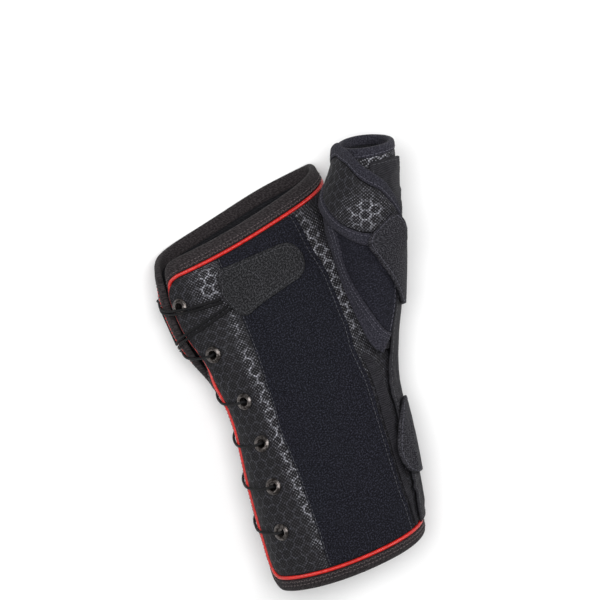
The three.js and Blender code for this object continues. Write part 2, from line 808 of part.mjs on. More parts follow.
function thenarFlap() {
  const from = flapOutline(STRAP_BINDING + GAP);
  const to = from.map(({ y, angle }) => ({ y, angle: Math.max(flapInner(y), angle + 2) }));
  return flapBand(from, to, 5, 0);
}

function thenarFlapBinding() {
  return flapBand(flapOutline(0), flapOutline(STRAP_BINDING), 2, BINDING_RISE);
}

const STRAP_SEAT = FLAP_SEAT + FLAP_THICKNESS + BINDING_RISE + 2 * GAP;

/** The strap lies on the sleeve at the back, stands away in the web and lies on the flap in front. */
function strapAt(angle, share, out) {
  const seat = lerp(FLAP_SEAT, STRAP_SEAT, smoothstep(angle, STRAP_LEAVES, STRAP_STANDS));
  const leaving = smoothstep(angle, STRAP_LEAVES, STRAP_STANDS);
  const landing = smoothstep(angle, STRAP_STANDS, STRAP_LANDS);
  return ballAt(share * THUMB_LENGTH, angle, out + seat + STRAP_FLARE * leaving * (1 - landing));
}

function strapLayer(edges, across, rise) {
  const angles = STRAP_EDGES.map(([angle]) => angle);
  return layer({
    along: steps(angles[0], angles[angles.length - 1], 17),
    edges,
    across,
    surface: strapAt,
    inner: 0,
    outer: STRAP_THICKNESS + rise,
  });
}

const STRAP_TAPE = STRAP_BINDING / THUMB_LENGTH;
const STRAP_GAP = GAP / THUMB_LENGTH;

/** The strap's lower binding, printed middle and upper binding, each from its lower to its upper edge. */
function strapLower(angle) {
  const [low] = readTable(STRAP_EDGES, angle);
  return [low, low + STRAP_TAPE];
}

function strapUpper(angle) {
  const [low, high] = readTable(STRAP_EDGES, angle);
  return [Math.max(high - STRAP_TAPE, low + STRAP_TAPE + 5 * STRAP_GAP), high];
}

function strapMiddle(angle) {
  return [strapLower(angle)[1] + STRAP_GAP, strapUpper(angle)[0] - STRAP_GAP];
}

/** A hook tab that lies over the strap and the stay cover, round the thumb side. */
function hookTab(rows, scale, surface, seat) {
  const shares = rows.map(([share]) => share);
  const ends = [shares[0], shares[shares.length - 1]];
  return layer({
    along: [ends[0], ...steps(ends[0] + TAB_NOSE, ends[1] - TAB_NOSE, 7), ends[1]],
    edges: (share) => readTable(rows, share),
    across: 6,
    surface: (share, angle, out) => surface(share * scale, angle, out),
    inner: seat,
    outer: seat + TAB_THICKNESS,
  });
}

const THUMB_TAB_SEAT = STRAP_SEAT + STRAP_THICKNESS + BINDING_RISE + 3 * GAP;
const FOREARM_TAB_SEAT = COVER_SEAT + COVER_THICKNESS + 2 * GAP;

/** The pull tab lies on the loop panel and follows the palm below it. */
function pullTab() {
  const [first, last] = [PULL_TAB[0][0], PULL_TAB[PULL_TAB.length - 1][0]];
  return layer({
    along: [first, ...steps(first + TAB_NOSE, last - TAB_NOSE, 9), last],
    edges: (share) => readTable(PULL_TAB, share).map((y) => y * PALM_LENGTH),
    across: 4,
    surface: (share, y, out) => {
      const x = share * SLEEVE_WIDTH;
      return new THREE.Vector3(x, y, palmHeight(x, y) + out);
    },
    inner: 2 * GAP + LOOP_THICKNESS,
    outer: 2 * GAP + LOOP_THICKNESS + TAB_THICKNESS,
  });
}

const LACE_OUT = EYELET_TOP + LACE_DIAMETER / 2 + GAP / 2;
const LACE_IN = -(WALL + 2 * GAP + LACE_DIAMETER);

/** Lace across the laced opening, outside the cloth, between two places on the sleeve. */
function laceAcross(from, to, count) {
  return steps(0, 1, count).map((t) => (
    sleevePoint(lerp(from[0], to[0], t), lerp(from[1], to[1], t), LACE_OUT)
  ));
}

/** Lace down through an eyelet, from its mouth to the inside of the cloth. */
function laceThrough(seat) {
  return [LACE_OUT - GAP, LACE_IN].map((reach) => seat.middle.clone().addScaledVector(seat.out, reach));
}

/** An eyelet's place on the sleeve. Dorsal angles are counted below zero, past the little-finger side. */
function eyeletPlace(row, side) {
  const [share, palmar, dorsal] = EYELETS[row];
  return side === 'palmar' ? [share, palmar] : [share + DORSAL_EYELET_STEP, dorsal - 360];
}

/** A place a few degrees away from an eyelet, towards another place. */
function stepAway(from, to) {
  return [from[0], from[1] + Math.sign(to[1] - from[1]) * LACE_STEP_AWAY];
}

/** The lace that starts under the pull tab and runs down all the eyelets. */
function mainLace() {
  const first = eyeletPlace(0, 'dorsal');
  const points = laceAcross(LACE_STARTS[0], stepAway(first, LACE_STARTS[0]), 7);
  let [near, far] = ['dorsal', 'palmar'];
  for (let row = 1; row < EYELETS.length; row += 1) {
    const [a, b] = [eyeletPlace(row, near), eyeletPlace(row, far)];
    points.push(...laceThrough(eyeletSeats[row - 1][near]), ...laceThrough(eyeletSeats[row][near]).reverse());
    points.push(...laceAcross(stepAway(a, b), stepAway(b, a), 4));
    [near, far] = [far, near];
  }
  points.push(...laceThrough(eyeletSeats[EYELETS.length - 1][near]));
  return cord(points, LACE_DIAMETER, LACE_SIDES);
}

/** The hairpin of lace behind the dorsal edge that makes the second and third strands. */
function loopLace() {
  const tuck = (share, angle) => LACE_TURN.map((turn) => sleevePoint(share, angle - turn, LACE_OUT));
  const points = [
    ...laceAcross(LACE_STARTS[1], LACE_TUCKS[0], 7),
    ...tuck(...LACE_TUCKS[0]),
    ...tuck(...LACE_TUCKS[1]).reverse(),
    ...laceAcross(LACE_TUCKS[1], LACE_STARTS[2], 7),
  ];
  return cord(points, LACE_DIAMETER, LACE_SIDES);
}

function endLace() {
  return cord(laceAcross(LACE_STARTS[3], LACE_TUCKS[2], 8), LACE_DIAMETER, LACE_SIDES);
}

const splint = new THREE.Group();

function add(name, geometry, finish) {
  const mesh = new THREE.Mesh(geometry, new THREE.MeshStandardMaterial({ ...finish, flatShading: true }));
  mesh.name = name;
  splint.add(mesh);
}

const seamGap = GAP / sleeveScale(0.5, RADIAL_SEAM_ANGLE).round;
const palmarEdge = freeEdge(palmarLine, RADIAL_SEAM_ANGLE);
const dorsalEdge = freeEdge(dorsalLine, RADIAL_SEAM_ANGLE + seamGap);

const palmarSpan = (share) => [palmarLine(share), RADIAL_SEAM_ANGLE];
const dorsalSpan = (share) => [RADIAL_SEAM_ANGLE + seamGap, dorsalLine(share)];

add('palmar_panel', panel(palmarSpan, 'palmar'), PRINT_BLACK);
add('dorsal_panel', panel(dorsalSpan, 'dorsal'), PRINT_BLACK);
add('palmar_binding', edgeBinding(palmarEdge, -1, edgeRoll), TAPE_BROWN);
add('dorsal_binding', edgeBinding(dorsalEdge, 1, () => 0), TAPE_BROWN);
add('palmar_piping', piping(palmarEdge, -1), PIPING_RED);
add('dorsal_piping', piping(dorsalEdge, 1), PIPING_RED);

const patchStart = PANEL_START + GAP / SLEEVE_RUN;
const loopShares = steps(patchStart, PANEL_END - GAP / SLEEVE_RUN, 14);
const ribShares = steps(patchStart, RIB_PANEL[RIB_PANEL.length - 1][0], 9);
add('palmar_loop_panel', palmPatch(LOOP_PANEL, loopShares, 7, LOOP_THICKNESS), LOOP_BLACK);
add('radial_rib_panel', palmPatch(RIB_PANEL, ribShares, 2, RIB_THICKNESS), RIB_BLACK);

add('thumb_sleeve', thumbSleeve(), PRINT_BLACK);
add('thumb_sleeve_binding', thumbSleeveBinding(), TAPE_BLUE);
add('radial_stay_cover', stayCover(), RIB_BLACK);
add('thenar_flap', thenarFlap(), LOOP_BLACK);
add('thenar_flap_binding', thenarFlapBinding(), TAPE_BLUE);

add('thumb_strap', strapLayer(strapMiddle, 5, 0), PRINT_BLACK);
add('thumb_strap_lower_binding', strapLayer(strapLower, 1, BINDING_RISE), TAPE_BLUE);
add('thumb_strap_upper_binding', strapLayer(strapUpper, 1, BINDING_RISE), TAPE_BLUE);

add('thumb_tab', hookTab(THUMB_TAB, THUMB_LENGTH, ballAt, THUMB_TAB_SEAT), HOOK_GREY);
add('forearm_tab', hookTab(FOREARM_TAB, FOREARM_LENGTH, handAt, FOREARM_TAB_SEAT), HOOK_GREY);
add('pull_tab', pullTab(), HOOK_GREY);

eyeletSeats.forEach((seats, row) => {
  add(`palmar_eyelet_${row + 1}`, eyelet(seats.palmar), GUNMETAL);
  add(`dorsal_eyelet_${row + 1}`, eyelet(seats.dorsal), GUNMETAL);
});
add('main_lace', mainLace(), LACE_BLACK);
add('loop_lace', loopLace(), LACE_BLACK);
add('end_lace', endLace(), LACE_BLACK);

export default splint;
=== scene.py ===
"""A thumb spica splint, palm side up: its cloth, trims, eyelets and laces, on a pale floor in soft light."""
import logging
import math
from collections.abc import Callable, Sequence
from dataclasses import dataclass, field
from enum import Enum

import bpy
import numpy as np
from mathutils import Matrix, Vector


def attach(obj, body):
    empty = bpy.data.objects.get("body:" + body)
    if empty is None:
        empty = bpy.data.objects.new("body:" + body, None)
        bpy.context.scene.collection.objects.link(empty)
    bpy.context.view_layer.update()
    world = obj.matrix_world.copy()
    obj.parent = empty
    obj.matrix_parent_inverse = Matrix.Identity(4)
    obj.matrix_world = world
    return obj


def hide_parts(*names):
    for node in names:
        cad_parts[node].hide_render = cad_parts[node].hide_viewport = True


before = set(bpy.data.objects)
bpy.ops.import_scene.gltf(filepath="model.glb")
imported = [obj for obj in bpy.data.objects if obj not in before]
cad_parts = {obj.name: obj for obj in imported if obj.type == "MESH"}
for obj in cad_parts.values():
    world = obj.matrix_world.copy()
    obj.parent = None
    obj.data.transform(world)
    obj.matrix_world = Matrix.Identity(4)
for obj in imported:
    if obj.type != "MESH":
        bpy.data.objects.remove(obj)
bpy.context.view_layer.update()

LOG = logging.getLogger("splint")
MM = 0.001
Array = np.ndarray
Thing = bpy.types.Object
Material = bpy.types.Material
Colour = tuple[int, int, int]
Table = Sequence[Sequence[float]]
Line = tuple[Array, Array]

# The first steps in from a narrow tape's edge.
TAPE_LEAD = (0.1, 0.35, 0.8)

# Sections across the shell. Station: share of its lower length below the waist, of its palm length above.
# Ulnar and radial reach: shares of the width. Depth: share of the depth. Crown: share of the depth there.
SHELL_SECTIONS = (
    # station, ulnar, radial, depth, crown
    (-1.0, 0.438, 0.375, 0.95, 0.5),
    (-0.67, 0.442, 0.408, 1.0, 0.5),
    (-0.34, 0.44, 0.434, 0.98, 0.5),
    (0.0, 0.426, 0.452, 0.9, 0.5),
    (0.14, 0.44, 0.48, 0.87, 0.49),
    (0.27, 0.484, 0.508, 0.84, 0.48),
    (0.39, 0.545, 0.515, 0.81, 0.48),
    (0.53, 0.594, 0.5, 0.775, 0.48),
    (0.69, 0.614, 0.465, 0.73, 0.48),
    (0.83, 0.604, 0.43, 0.7, 0.48),
    (0.97, 0.578, 0.4, 0.67, 0.48),
    (1.17, 0.53, 0.35, 0.63, 0.48),
)
# Sections across the thumb sleeve, as shares of its length, spread, width, lift and depth.
THUMB_SECTIONS = (
    # station, side, half width, lift, half depth
    (-0.16, 0.58, 0.15, 0.585, 0.2),
    (0.0, 0.59, 0.21, 0.585, 0.33),
    (0.1, 0.62, 0.23, 0.58, 0.38),
    (0.21, 0.66, 0.26, 0.605, 0.43),
    (0.34, 0.716, 0.333, 0.655, 0.485),
    (0.47, 0.755, 0.402, 0.697, 0.5),
    (0.59, 0.786, 0.457, 0.747, 0.5),
    (0.73, 0.829, 0.505, 0.828, 0.486),
    (0.82, 0.873, 0.504, 0.879, 0.472),
    (0.88, 0.921, 0.478, 0.919, 0.458),
    (0.945, 0.967, 0.437, 0.96, 0.444),
    (1.03, 1.0, 0.39, 1.0, 0.43),
)
LACED_LINES = (
    # share along the sleeve, palmar angle, dorsal angle
    (0.0, -76, 243),
    (0.5, -76, 245),
    (0.57, -75, 250),
    (0.62, -70, 255),
    (0.67, -62, 262),
    (0.72, -59, 269),
    (0.78, -60.5, 272),
    (0.86, -61.5, 271.5),
    (1.0, -61.5, 271.5),
)
LOOP_PANEL = (
    # share along the sleeve, ulnar edge, radial edge, as shares of the width
    (0.06, -0.137, 0.328),
    (0.2, -0.15, 0.325),
    (0.35, -0.168, 0.322),
    (0.45, -0.188, 0.314),
    (0.58, -0.192, 0.29),
    (0.7, -0.207, 0.28),
    (0.82, -0.232, 0.235),
    (0.94, -0.26, 0.18),
)
RIB_PANEL = (
    # share along the sleeve, ulnar edge, radial edge, as shares of the width
    (0.06, 0.345, 0.355),
    (0.2, 0.342, 0.372),
    (0.35, 0.339, 0.385),
    (0.45, 0.331, 0.39),
    (0.5, 0.322, 0.375),
    (0.53, 0.316, 0.345),
)
STAY_COVER = (
    # share of the thumb sleeve's length, from and to on the shell, from and to on the thumb sleeve
    (-0.6, 64, 112, 40, 112),
    (-0.36, 63, 115, 40, 115),
    (-0.1, 59, 118, 40, 118),
    (0.06, 60, 120, 40, 120),
    (0.2, 66, 120, 44, 120),
    (0.34, 74, 120, 55, 120),
    (0.47, 76, 120, 52, 120),
    (0.6, 76, 120, 40, 120),
    (0.75, 76, 120, 22, 120),
    (0.89, 76, 120, 7, 120),
)
FLAP_EDGE = (
    # share of the thumb sleeve's length, free edge
    (0.145, 14),
    (0.165, -5),
    (0.2, -22),
    (0.28, -42),
    (0.38, -60),
    (0.49, -74),
    (0.61, -78),
    (0.73, -78),
    (0.82, -74),
)
STRAP_EDGES = (
    # angle, lower edge and upper edge as shares of the thumb sleeve's length
    (-178, 0.79, 0.95),
    (-150, 0.82, 0.965),
    (-120, 0.845, 0.985),
    (-90, 0.825, 1.01),
    (-60, 0.745, 1.02),
    (-44, 0.69, 0.998),
    (-27, 0.635, 0.968),
    (-7, 0.593, 0.908),
    (10, 0.575, 0.866),
    (26, 0.572, 0.827),
    (44, 0.58, 0.764),
    (56, 0.595, 0.7),
)
THUMB_TAB = (
    # share of the thumb sleeve's length, from angle, to angle
    (0.315, 66, 84),
    (0.34, 57, 104),
    (0.475, 22, 114),
    (0.56, 3, 104),
    (0.6, 1, 68),
    (0.63, 9, 57),
    (0.665, 26, 48),
    (0.68, 34, 41),
)
FOREARM_TAB = (
    # share of the shell's lower length, from angle, to angle
    (-0.525, 68, 96),
    (-0.5, 57, 108),
    (-0.4, 49, 116),
    (-0.3, 50, 118),
    (-0.19, 55, 116),
    (-0.11, 63, 110),
    (-0.075, 74, 98),
)
PULL_TAB = (
    # across the palm as a share of the width, lower and upper edge as shares of the palm's length
    (-0.29, 0.67, 0.735),
    (-0.275, 0.615, 0.773),
    (-0.21, 0.53, 0.784),
    (-0.1, 0.563, 0.797),
    (0.0, 0.595, 0.809),
    (0.08, 0.621, 0.817),
    (0.125, 0.635, 0.808),
    (0.155, 0.66, 0.78),
    (0.173, 0.693, 0.742),
)
EYELETS = (
    # share along the sleeve, palmar angle, dorsal angle
    (0.865, -52, 256),
    (0.706, -46, 254),
    (0.554, -46, 234),
    (0.426, -42, 229),
    (0.302, -40.5, 227),
    (0.172, -44, 227),
)
# The strands' four ends under the pull tab and their turns behind the back edge: share along, angle.
LACE_STARTS = ((0.839, -24.4), (0.829, -24.2), (0.813, -22.2), (0.803, -21))
LACE_TUCKS = ((0.87, -88), (0.756, -89), (0.742, -90))


def read_table(rows: Table, at: Array) -> list[Array]:
    """Reads a table's columns on a smooth curve through its rows.

    Args:
        rows: The table, with the share in its first column.
        at: The shares to read at.

    Returns:
        One array for each other column.
    """
    table, at = np.asarray(rows, float), np.asarray(at, float)
    last = len(table) - 1
    i = np.searchsorted(table[1:-1, 0], at, side="left")
    a, b = table[i], table[i + 1]
    before, after = table[np.maximum(i - 1, 0)], table[np.minimum(i + 2, last)]
    span = (b[..., 0] - a[..., 0])[..., None]
    t = np.clip((at - a[..., 0])[..., None] / span, 0, 1)
    slope_a = (b - before) / (b[..., :1] - before[..., :1]) * span
    slope_b = (after - a) / (after[..., :1] - a[..., :1]) * span
    value = a + (b - a) * t * t * (3 - 2 * t) + slope_a * t * (1 - t) ** 2 - slope_b * t * t * (1 - t)
    return [value[..., k] for k in range(1, table.shape[1])]


def lerp(a: Array | float, b: Array | float, t: Array | float) -> Array | float:
    """Goes from a to b as t goes from 0 to 1."""
    return a + (b - a) * t


def smooth(x: Array | float, low: float, high: float) -> Array:
    """Rises smoothly from 0 at low to 1 at high."""
    t = np.clip((np.asarray(x, float) - low) / (high - low), 0, 1)
    return t * t * (3 - 2 * t)


def hump(at: Array, middle: float, reach: float) -> Array:
    """A rounded hump that is 1 at its middle and has died away at about twice its reach."""
    return np.exp(-((at - middle) / reach) ** 2)


def soft_max(a: Array, b: Array, blend: float) -> Array:
    """The larger of two heights, with the crease between them rounded over a distance."""
    near = np.maximum(blend - np.abs(a - b), 0) / blend
    return np.maximum(a, b) + near * near * blend / 4


def graded(length: float, step: float, lead: Sequence[float] = (0.12, 0.4, 0.85, 1.5)) -> Array:
    """Shares along a length, close together at both ends, where an edge is rounded.

    Args:
        length: The length in millimetres.
        step: The usual step.
        lead: The first few distances from each end.

    Returns:
        Shares from 0 to 1.
    """
    lead = np.array([d for d in lead if d < length / 3])
    start = lead[-1] if len(lead) else 0.0
    count = max(int(round((length - 2 * start) / step)), 2)
    middle = np.linspace(start, length - start, count + 1)
    return np.concatenate(([0.0] if len(lead) else [], lead[:-1], middle, length - lead[:-1][::-1],
                           [length] if len(lead) else [])) / length


def value_noise(x: Array, y: Array, size: float, seed: int) -> Array:
    """Smooth noise from -1 to 1 over two lengths.

    Args:
        x: The first length in millimetres.
        y: The second.
        size: How far apart its bumps lie.
        seed: Which noise.

    Returns:
        The noise at each place.
    """
    lattice = np.random.default_rng(seed).uniform(-1, 1, (64, 64))
    px, py = np.asarray(x) / size + 1000.0, np.asarray(y) / size + 1000.0
    ix, iy = np.floor(px).astype(int), np.floor(py).astype(int)
    fx, fy = smooth(px - ix, 0, 1), smooth(py - iy, 0, 1)
    corner = [[lattice[(ix + dx) % 64, (iy + dy) % 64] for dy in (0, 1)] for dx in (0, 1)]
    return lerp(lerp(corner[0][0], corner[1][0], fx), lerp(corner[0][1], corner[1][1], fx), fy)


@dataclass
class Waves:
    """Small waves of a draped cloth, as a table of distances out over two measures of its place."""

    first: Array
    second: Array
    out: Array

    def at(self, a: Array, b: Array) -> Array:
        """The distance out at places given by the two measures.

        Args:
            a: The first measure.
            b: The second.

        Returns:
            Millimetres out.
        """
        (ia, ta), (ib, tb) = self.cell(self.first, a), self.cell(self.second, b)
        low = lerp(self.out[ia, ib], self.out[ia + 1, ib], ta)
        high = lerp(self.out[ia, ib + 1], self.out[ia + 1, ib + 1], ta)
        return lerp(low, high, tb)

    @staticmethod
    def cell(steps: Array, at: Array) -> tuple[Array, Array]:
        """Which step of a measure places lie in, and how far through it.

        Args:
            steps: The measure's even steps.
            at: The places.

        Returns:
            The step's number and a smooth share of it.
        """
        reach = np.clip((at - steps[0]) / (steps[-1] - steps[0]), 0, 1) * (len(steps) - 1)
        number = np.minimum(reach.astype(int), len(steps) - 2)
        return number, smooth(reach - number, 0, 1)


@dataclass
class ShellForm:
    """The form of the sleeve's shell, from its lower end to its upper end, in millimetres."""

    lower_length: float = 88.0
    palm_length: float = 107.5
    width: float = 100.0
    depth: float = 62.0
    press: float = 1.3
    distal_slope: float = 0.305
    distal_reach: float = 0.47
    distal_shift: float = 0.11
    dorsal_rise: float = 12.0
    proximal_dip: float = 8.5
    proximal_lean: float = 20.0
    palm_roundness: float = 2.4
    back_roundness: float = 3.0
    waves: Waves | None = None

    def section(self, y: Array) -> tuple[Array, Array, Array, Array]:
        """The centre, half width, height of the widest place and depth above it, at a distance.

        Args:
            y: Distances from the waist.

        Returns:
            The four, in millimetres.
        """
        station = y / np.where(y < 0, self.lower_length, self.palm_length)
        ulnar, radial, depth, crown = read_table(SHELL_SECTIONS, station)
        centre, half = (radial - ulnar) / 2 * self.width, (radial + ulnar) / 2 * self.width
        return centre, half, depth * crown * self.depth, depth * (1 - crown) * self.depth

    def at(self, y: Array, angle: Array, out: Array | float) -> Array:
        """Points of the surface, moved out by a distance, with the underside pressed flat.

        Args:
            y: Distances from the waist.
            angle: Degrees round it, from the palm side.
            out: Millimetres out.

        Returns:
            The points.
        """
        y, angle, out = np.broadcast_arrays(*(np.asarray(value, float) for value in (y, angle, out)))
        centre, half, crown, top = self.section(y)
        s, c = np.sin(np.radians(angle)), np.cos(np.radians(angle))
        n = lerp(self.back_roundness, self.palm_roundness, smooth(c, -0.3, 0.3))
        reach = (np.abs(s) ** n + np.abs(c) ** n) ** (-1 / n)
        moved = out + self.wave(y, angle)
        height = np.where(c > 0, top + moved, crown + moved + self.press)
        z = crown + height * reach * c
        return np.stack([centre + (half + moved) * reach * s, y, np.maximum(z, np.maximum(-out, 0))], axis=-1)

    def wave(self, y: Array, angle: Array) -> Array | float:
        """How far out the settled cover lies.

        Args:
            y: Distances from the waist.
            angle: Degrees round it, from the palm side.

        Returns:
            Millimetres out.
        """
        if self.waves is None:
            return 0.0
        start, end = self.proximal_end(angle), self.distal_end(angle)
        return self.waves.at((y - start) / (end - start), np.mod(angle + 90, 360) - 90)

    def distal_end(self, angle: Array) -> Array:
        """Where the sleeve's upper end is."""
        side = (self.distal_reach * np.sin(np.radians(angle)) - self.distal_shift) * self.width
        back = self.dorsal_rise / 2 * (1 - np.cos(np.radians(angle)))
        return self.palm_length + self.distal_slope * side + back

    def proximal_end(self, angle: Array) -> Array:
        """Where the sleeve's lower end is."""
        return self.proximal_dip * (1 - np.cos(np.radians(angle + self.proximal_lean))) - self.lower_length

    def sleeve(self, share: Array, angle: Array, out: Array | float) -> Array:
        """Points by their share from the lower end's edge to the upper end's."""
        return self.at(lerp(self.proximal_end(angle), self.distal_end(angle), share), angle, out)

    def scale(self, share: Array, angle: Array) -> tuple[Array, Array]:
        """Millimetres for a degree round the sleeve, and for a whole share along it."""
        ahead, behind = self.sleeve(share, angle + 1, 0), self.sleeve(share, angle - 1, 0)
        return np.linalg.norm(ahead - behind, axis=-1) / 2, self.distal_end(angle) - self.proximal_end(angle)

    def palm_height(self, x: Array, y: Array) -> Array:
        """The height of the palm side over a place in plan.

        Args:
            x: Places across.
            y: Places along.

        Returns:
            The heights.
        """
        centre, half, crown, top = self.section(y)
        reach = np.minimum(np.abs(x - centre) / half, 1)
        rise = (1 - reach**self.palm_roundness) ** (1 / self.palm_roundness)
        angle = np.degrees(np.arctan2(reach * np.sign(x - centre), rise))
        return crown + top * rise + self.wave(y, angle)

    def angle_across(self, share: Array, side: Array) -> Array:
        """The angle at which the palm side lies at a distance from the centreline.

        Args:
            share: Shares along it.
            side: Distances from the centreline.

        Returns:
            The angles.
        """
        angle = np.zeros_like(np.asarray(share, float))
        for _ in range(4):
            y = lerp(self.proximal_end(angle), self.distal_end(angle), share)
            centre, half, _, _ = self.section(y)
            reach = np.clip((side - centre) / half, -0.99, 0.99)
            rise = (1 - np.abs(reach) ** self.palm_roundness) ** (1 / self.palm_roundness)
            angle = np.degrees(np.arctan2(reach, rise))
        return angle


@dataclass
class ThumbSleeveForm:
    """The form of the thumb sleeve, in millimetres."""

    length: float = 127.0
    spread: float = 64.5
    width: float = 36.4
    lift: float = 49.5
    depth: float = 36.0
    rim_tilt: float = 4.0
    root_share: float = 0.15
    waves: Waves | None = None

    def axis(self, y: Array) -> tuple[Array, Array, Array, Array]:
        """The side, half width, lift and half depth at a distance from the waist."""
        side, width, lift, depth = read_table(THUMB_SECTIONS, np.asarray(y) / self.length)
        return side * self.spread, width * self.width, lift * self.lift, depth * self.depth

    def at(self, y: Array, angle: Array, out: Array | float) -> Array:
        """Points of the surface, moved out by a distance.

        Args:
            y: Distances from the waist.
            angle: Degrees round it, from the palm side.
            out: Millimetres out.

        Returns:
            The points.
        """
        y, angle, out = np.broadcast_arrays(*(np.asarray(value, float) for value in (y, angle, out)))
        side, width, lift, depth = self.axis(y)
        moved = out
        if self.waves is not None:
            moved = out + self.waves.at(y / self.length, np.mod(angle, 360))
        s, c = np.sin(np.radians(angle)), np.cos(np.radians(angle))
        return np.stack([side + (width + moved) * s, y, lift + (depth + moved) * c], axis=-1)

    def rim(self, angle: Array) -> Array:
        """Where the thumb sleeve ends."""
        return self.length - self.rim_tilt * (np.cos(np.radians(angle)) + np.sin(np.radians(angle)) / 2)


@dataclass
class Forms:
    """The shell's form and the thumb sleeve's together."""

    shell: ShellForm = field(default_factory=ShellForm)
    thumb: ThumbSleeveForm = field(default_factory=ThumbSleeveForm)
    crease: float = 3.0

    def ball(self, y: Array, angle: Array, out: Array | float) -> Array:
        """The thumb sleeve's surface where it stands above the palm side, and the palm side's elsewhere.

        Args:
            y: Distances from the waist.
            angle: Degrees round it, from the palm side.
            out: Millimetres out.

        Returns:
            The points.
        """
        point = self.thumb.at(y, angle, out)
        floor = self.shell.palm_height(point[..., 0], point[..., 1]) + out
        raised = soft_max(point[..., 2], floor, self.crease)
        lift = smooth(np.cos(np.radians(angle)), 0.0, 0.2)
        point[..., 2] = lerp(point[..., 2], raised, np.broadcast_to(lift, raised.shape))
        return point


class Border(Enum):
    """The four borders of a cloth's grid."""

    START = "start"
    END = "end"
    FIRST = "first"
    LAST = "last"


def read_line(line: Array, run: Array, at: Array | float) -> Array:
    """Points of a line at distances along it."""
    return np.stack([np.interp(at, run, line[:, k]) for k in range(3)], axis=-1)


@dataclass
class Path:
    """A line on a cloth, with the direction out of the cloth along it."""

    points: Array
    normals: Array

    def trimmed(self, start: float, end: float) -> "Path":
        """The path without a length at each end."""
        run = arc_length(self.points)
        keep = (run >= start) & (run <= run[-1] - end)
        return Path(self.points[keep], self.normals[keep])


def arc_length(points: Array, axis: int = 0) -> Array:
    """The distance run along a line of points, from its start.

    Args:
        points: The line's points.
        axis: The axis that runs along it.

    Returns:
        The distance at each point.
    """
    step = np.linalg.norm(np.diff(points, axis=axis), axis=-1)
    pad = [(0, 0)] * step.ndim
    pad[axis] = (1, 0)
    return np.cumsum(np.pad(step, pad), axis=axis)


@dataclass
class Rounding:
    """How far in from each border a cloth's edge is rounded, in millimetres."""

    start: float = 1.0
    end: float = 1.0
    first: float = 1.0
    last: float = 1.0


@dataclass
class Cloth:
    """A closed piece of cloth and the measures of its grid."""

    thing: Thing
    outer: Array
    normals: Array
    across: Array
    along: Array

    def seam(self, border: Border, distance: float) -> Path:
        """A line on the outer face that keeps a distance from one border.

        Args:
            border: The border that it follows.
            distance: Millimetres in from it.

        Returns:
            The line.
        """
        measure, grid, normal = self.across, self.outer, self.normals
        if border in (Border.START, Border.END):
            measure, grid, normal = self.along.T, grid.transpose(1, 0, 2), normal.transpose(1, 0, 2)
        if border in (Border.LAST, Border.END):
            measure, grid, normal = measure[:, -1:] - measure[:, ::-1], grid[:, ::-1], normal[:, ::-1]
        points, normals = [], []
        for reach, line, out in zip(measure, grid, normal):
            points.append(read_line(line, reach, distance))
            normals.append(read_line(out, reach, distance))
        return Path(np.array(points), unit(np.array(normals)))

    def rim(self, distance: float) -> list[Path]:
        """Lines along all four borders, each cut back where they would cross."""
        return [self.seam(border, distance).trimmed(distance, distance) for border in Border]


def unit(vectors: Array) -> Array:
    """The vectors at length one."""
    return vectors / np.maximum(np.linalg.norm(vectors, axis=-1, keepdims=True), 1e-12)


def mesh_object(name: str, points: Array, faces: Sequence[Sequence[int]], uv: Array | None = None,
                measures: dict[str, Array] | None = None) -> Thing:
    """Makes an object from points in millimetres, with its faces turned outwards.

    Args:
        name: The object's name.
        points: The corners in millimetres.
        faces: Each face's corners.
        uv: A place in millimetres for each corner of each face.
        measures: Named numbers for each point.

    Returns:
        The object, shaded smooth.
    """
    faces = np.asarray(faces, int)
    points = np.column_stack([points[:, :2], np.maximum(points[:, 2], 0.0)])
    a, b, c, d = (points[faces[:, k]] for k in range(4))
    volume = np.einsum("ij,ij->", a, np.cross(b, c)) + np.einsum("ij,ij->", a, np.cross(c, d))
    if volume < 0:
        faces = faces[:, ::-1]
        uv = None if uv is None else uv[:, ::-1]
    mesh = bpy.data.meshes.new(name)
    mesh.vertices.add(len(points))
    mesh.vertices.foreach_set("co", (points * MM).astype(np.float32).ravel())
    mesh.loops.add(faces.size)
    mesh.loops.foreach_set("vertex_index", faces.ravel().astype(np.int32))
    mesh.polygons.add(len(faces))
    mesh.polygons.foreach_set("loop_start", np.arange(0, faces.size, 4, dtype=np.int32))
    mesh.polygons.foreach_set("use_smooth", np.ones(len(faces), dtype=bool))
    if uv is not None:
        layer = mesh.uv_layers.new(name="UVMap")
        layer.data.foreach_set("uv", uv.astype(np.float32).ravel())
    for key, values in (measures or {}).items():
        mesh.attributes.new(key, "FLOAT", "POINT").data.foreach_set("value", values.astype(np.float32))
    mesh.update(calc_edges=True)
    mesh.validate()
    thing = bpy.data.objects.new(name, mesh)
    bpy.context.scene.collection.objects.link(thing)
    return thing


@dataclass
class RoundCut:
    """A round hole straight through the cloth."""

    middle: Array
    out: Array
    radius: float
    reach: float = 8.0

    def split(self, points: Array) -> tuple[Array, Array]:
        """How far points lie along the hole's axis, and their offset from it."""
        offset = points - self.middle
        along = np.sum(offset * self.out, axis=-1, keepdims=True)
        return along, offset - along * self.out

    def inside(self, points: Array) -> Array:
        """Which points lie in the hole."""
        along, aside = self.split(points)
        return (np.linalg.norm(aside, axis=-1) < self.radius) & (np.abs(along[..., 0]) < self.reach)

    def snap(self, points: Array) -> Array:
        """The points moved onto the hole's wall."""
        along, aside = self.split(points)
        return self.middle + along * self.out + unit(aside) * self.radius


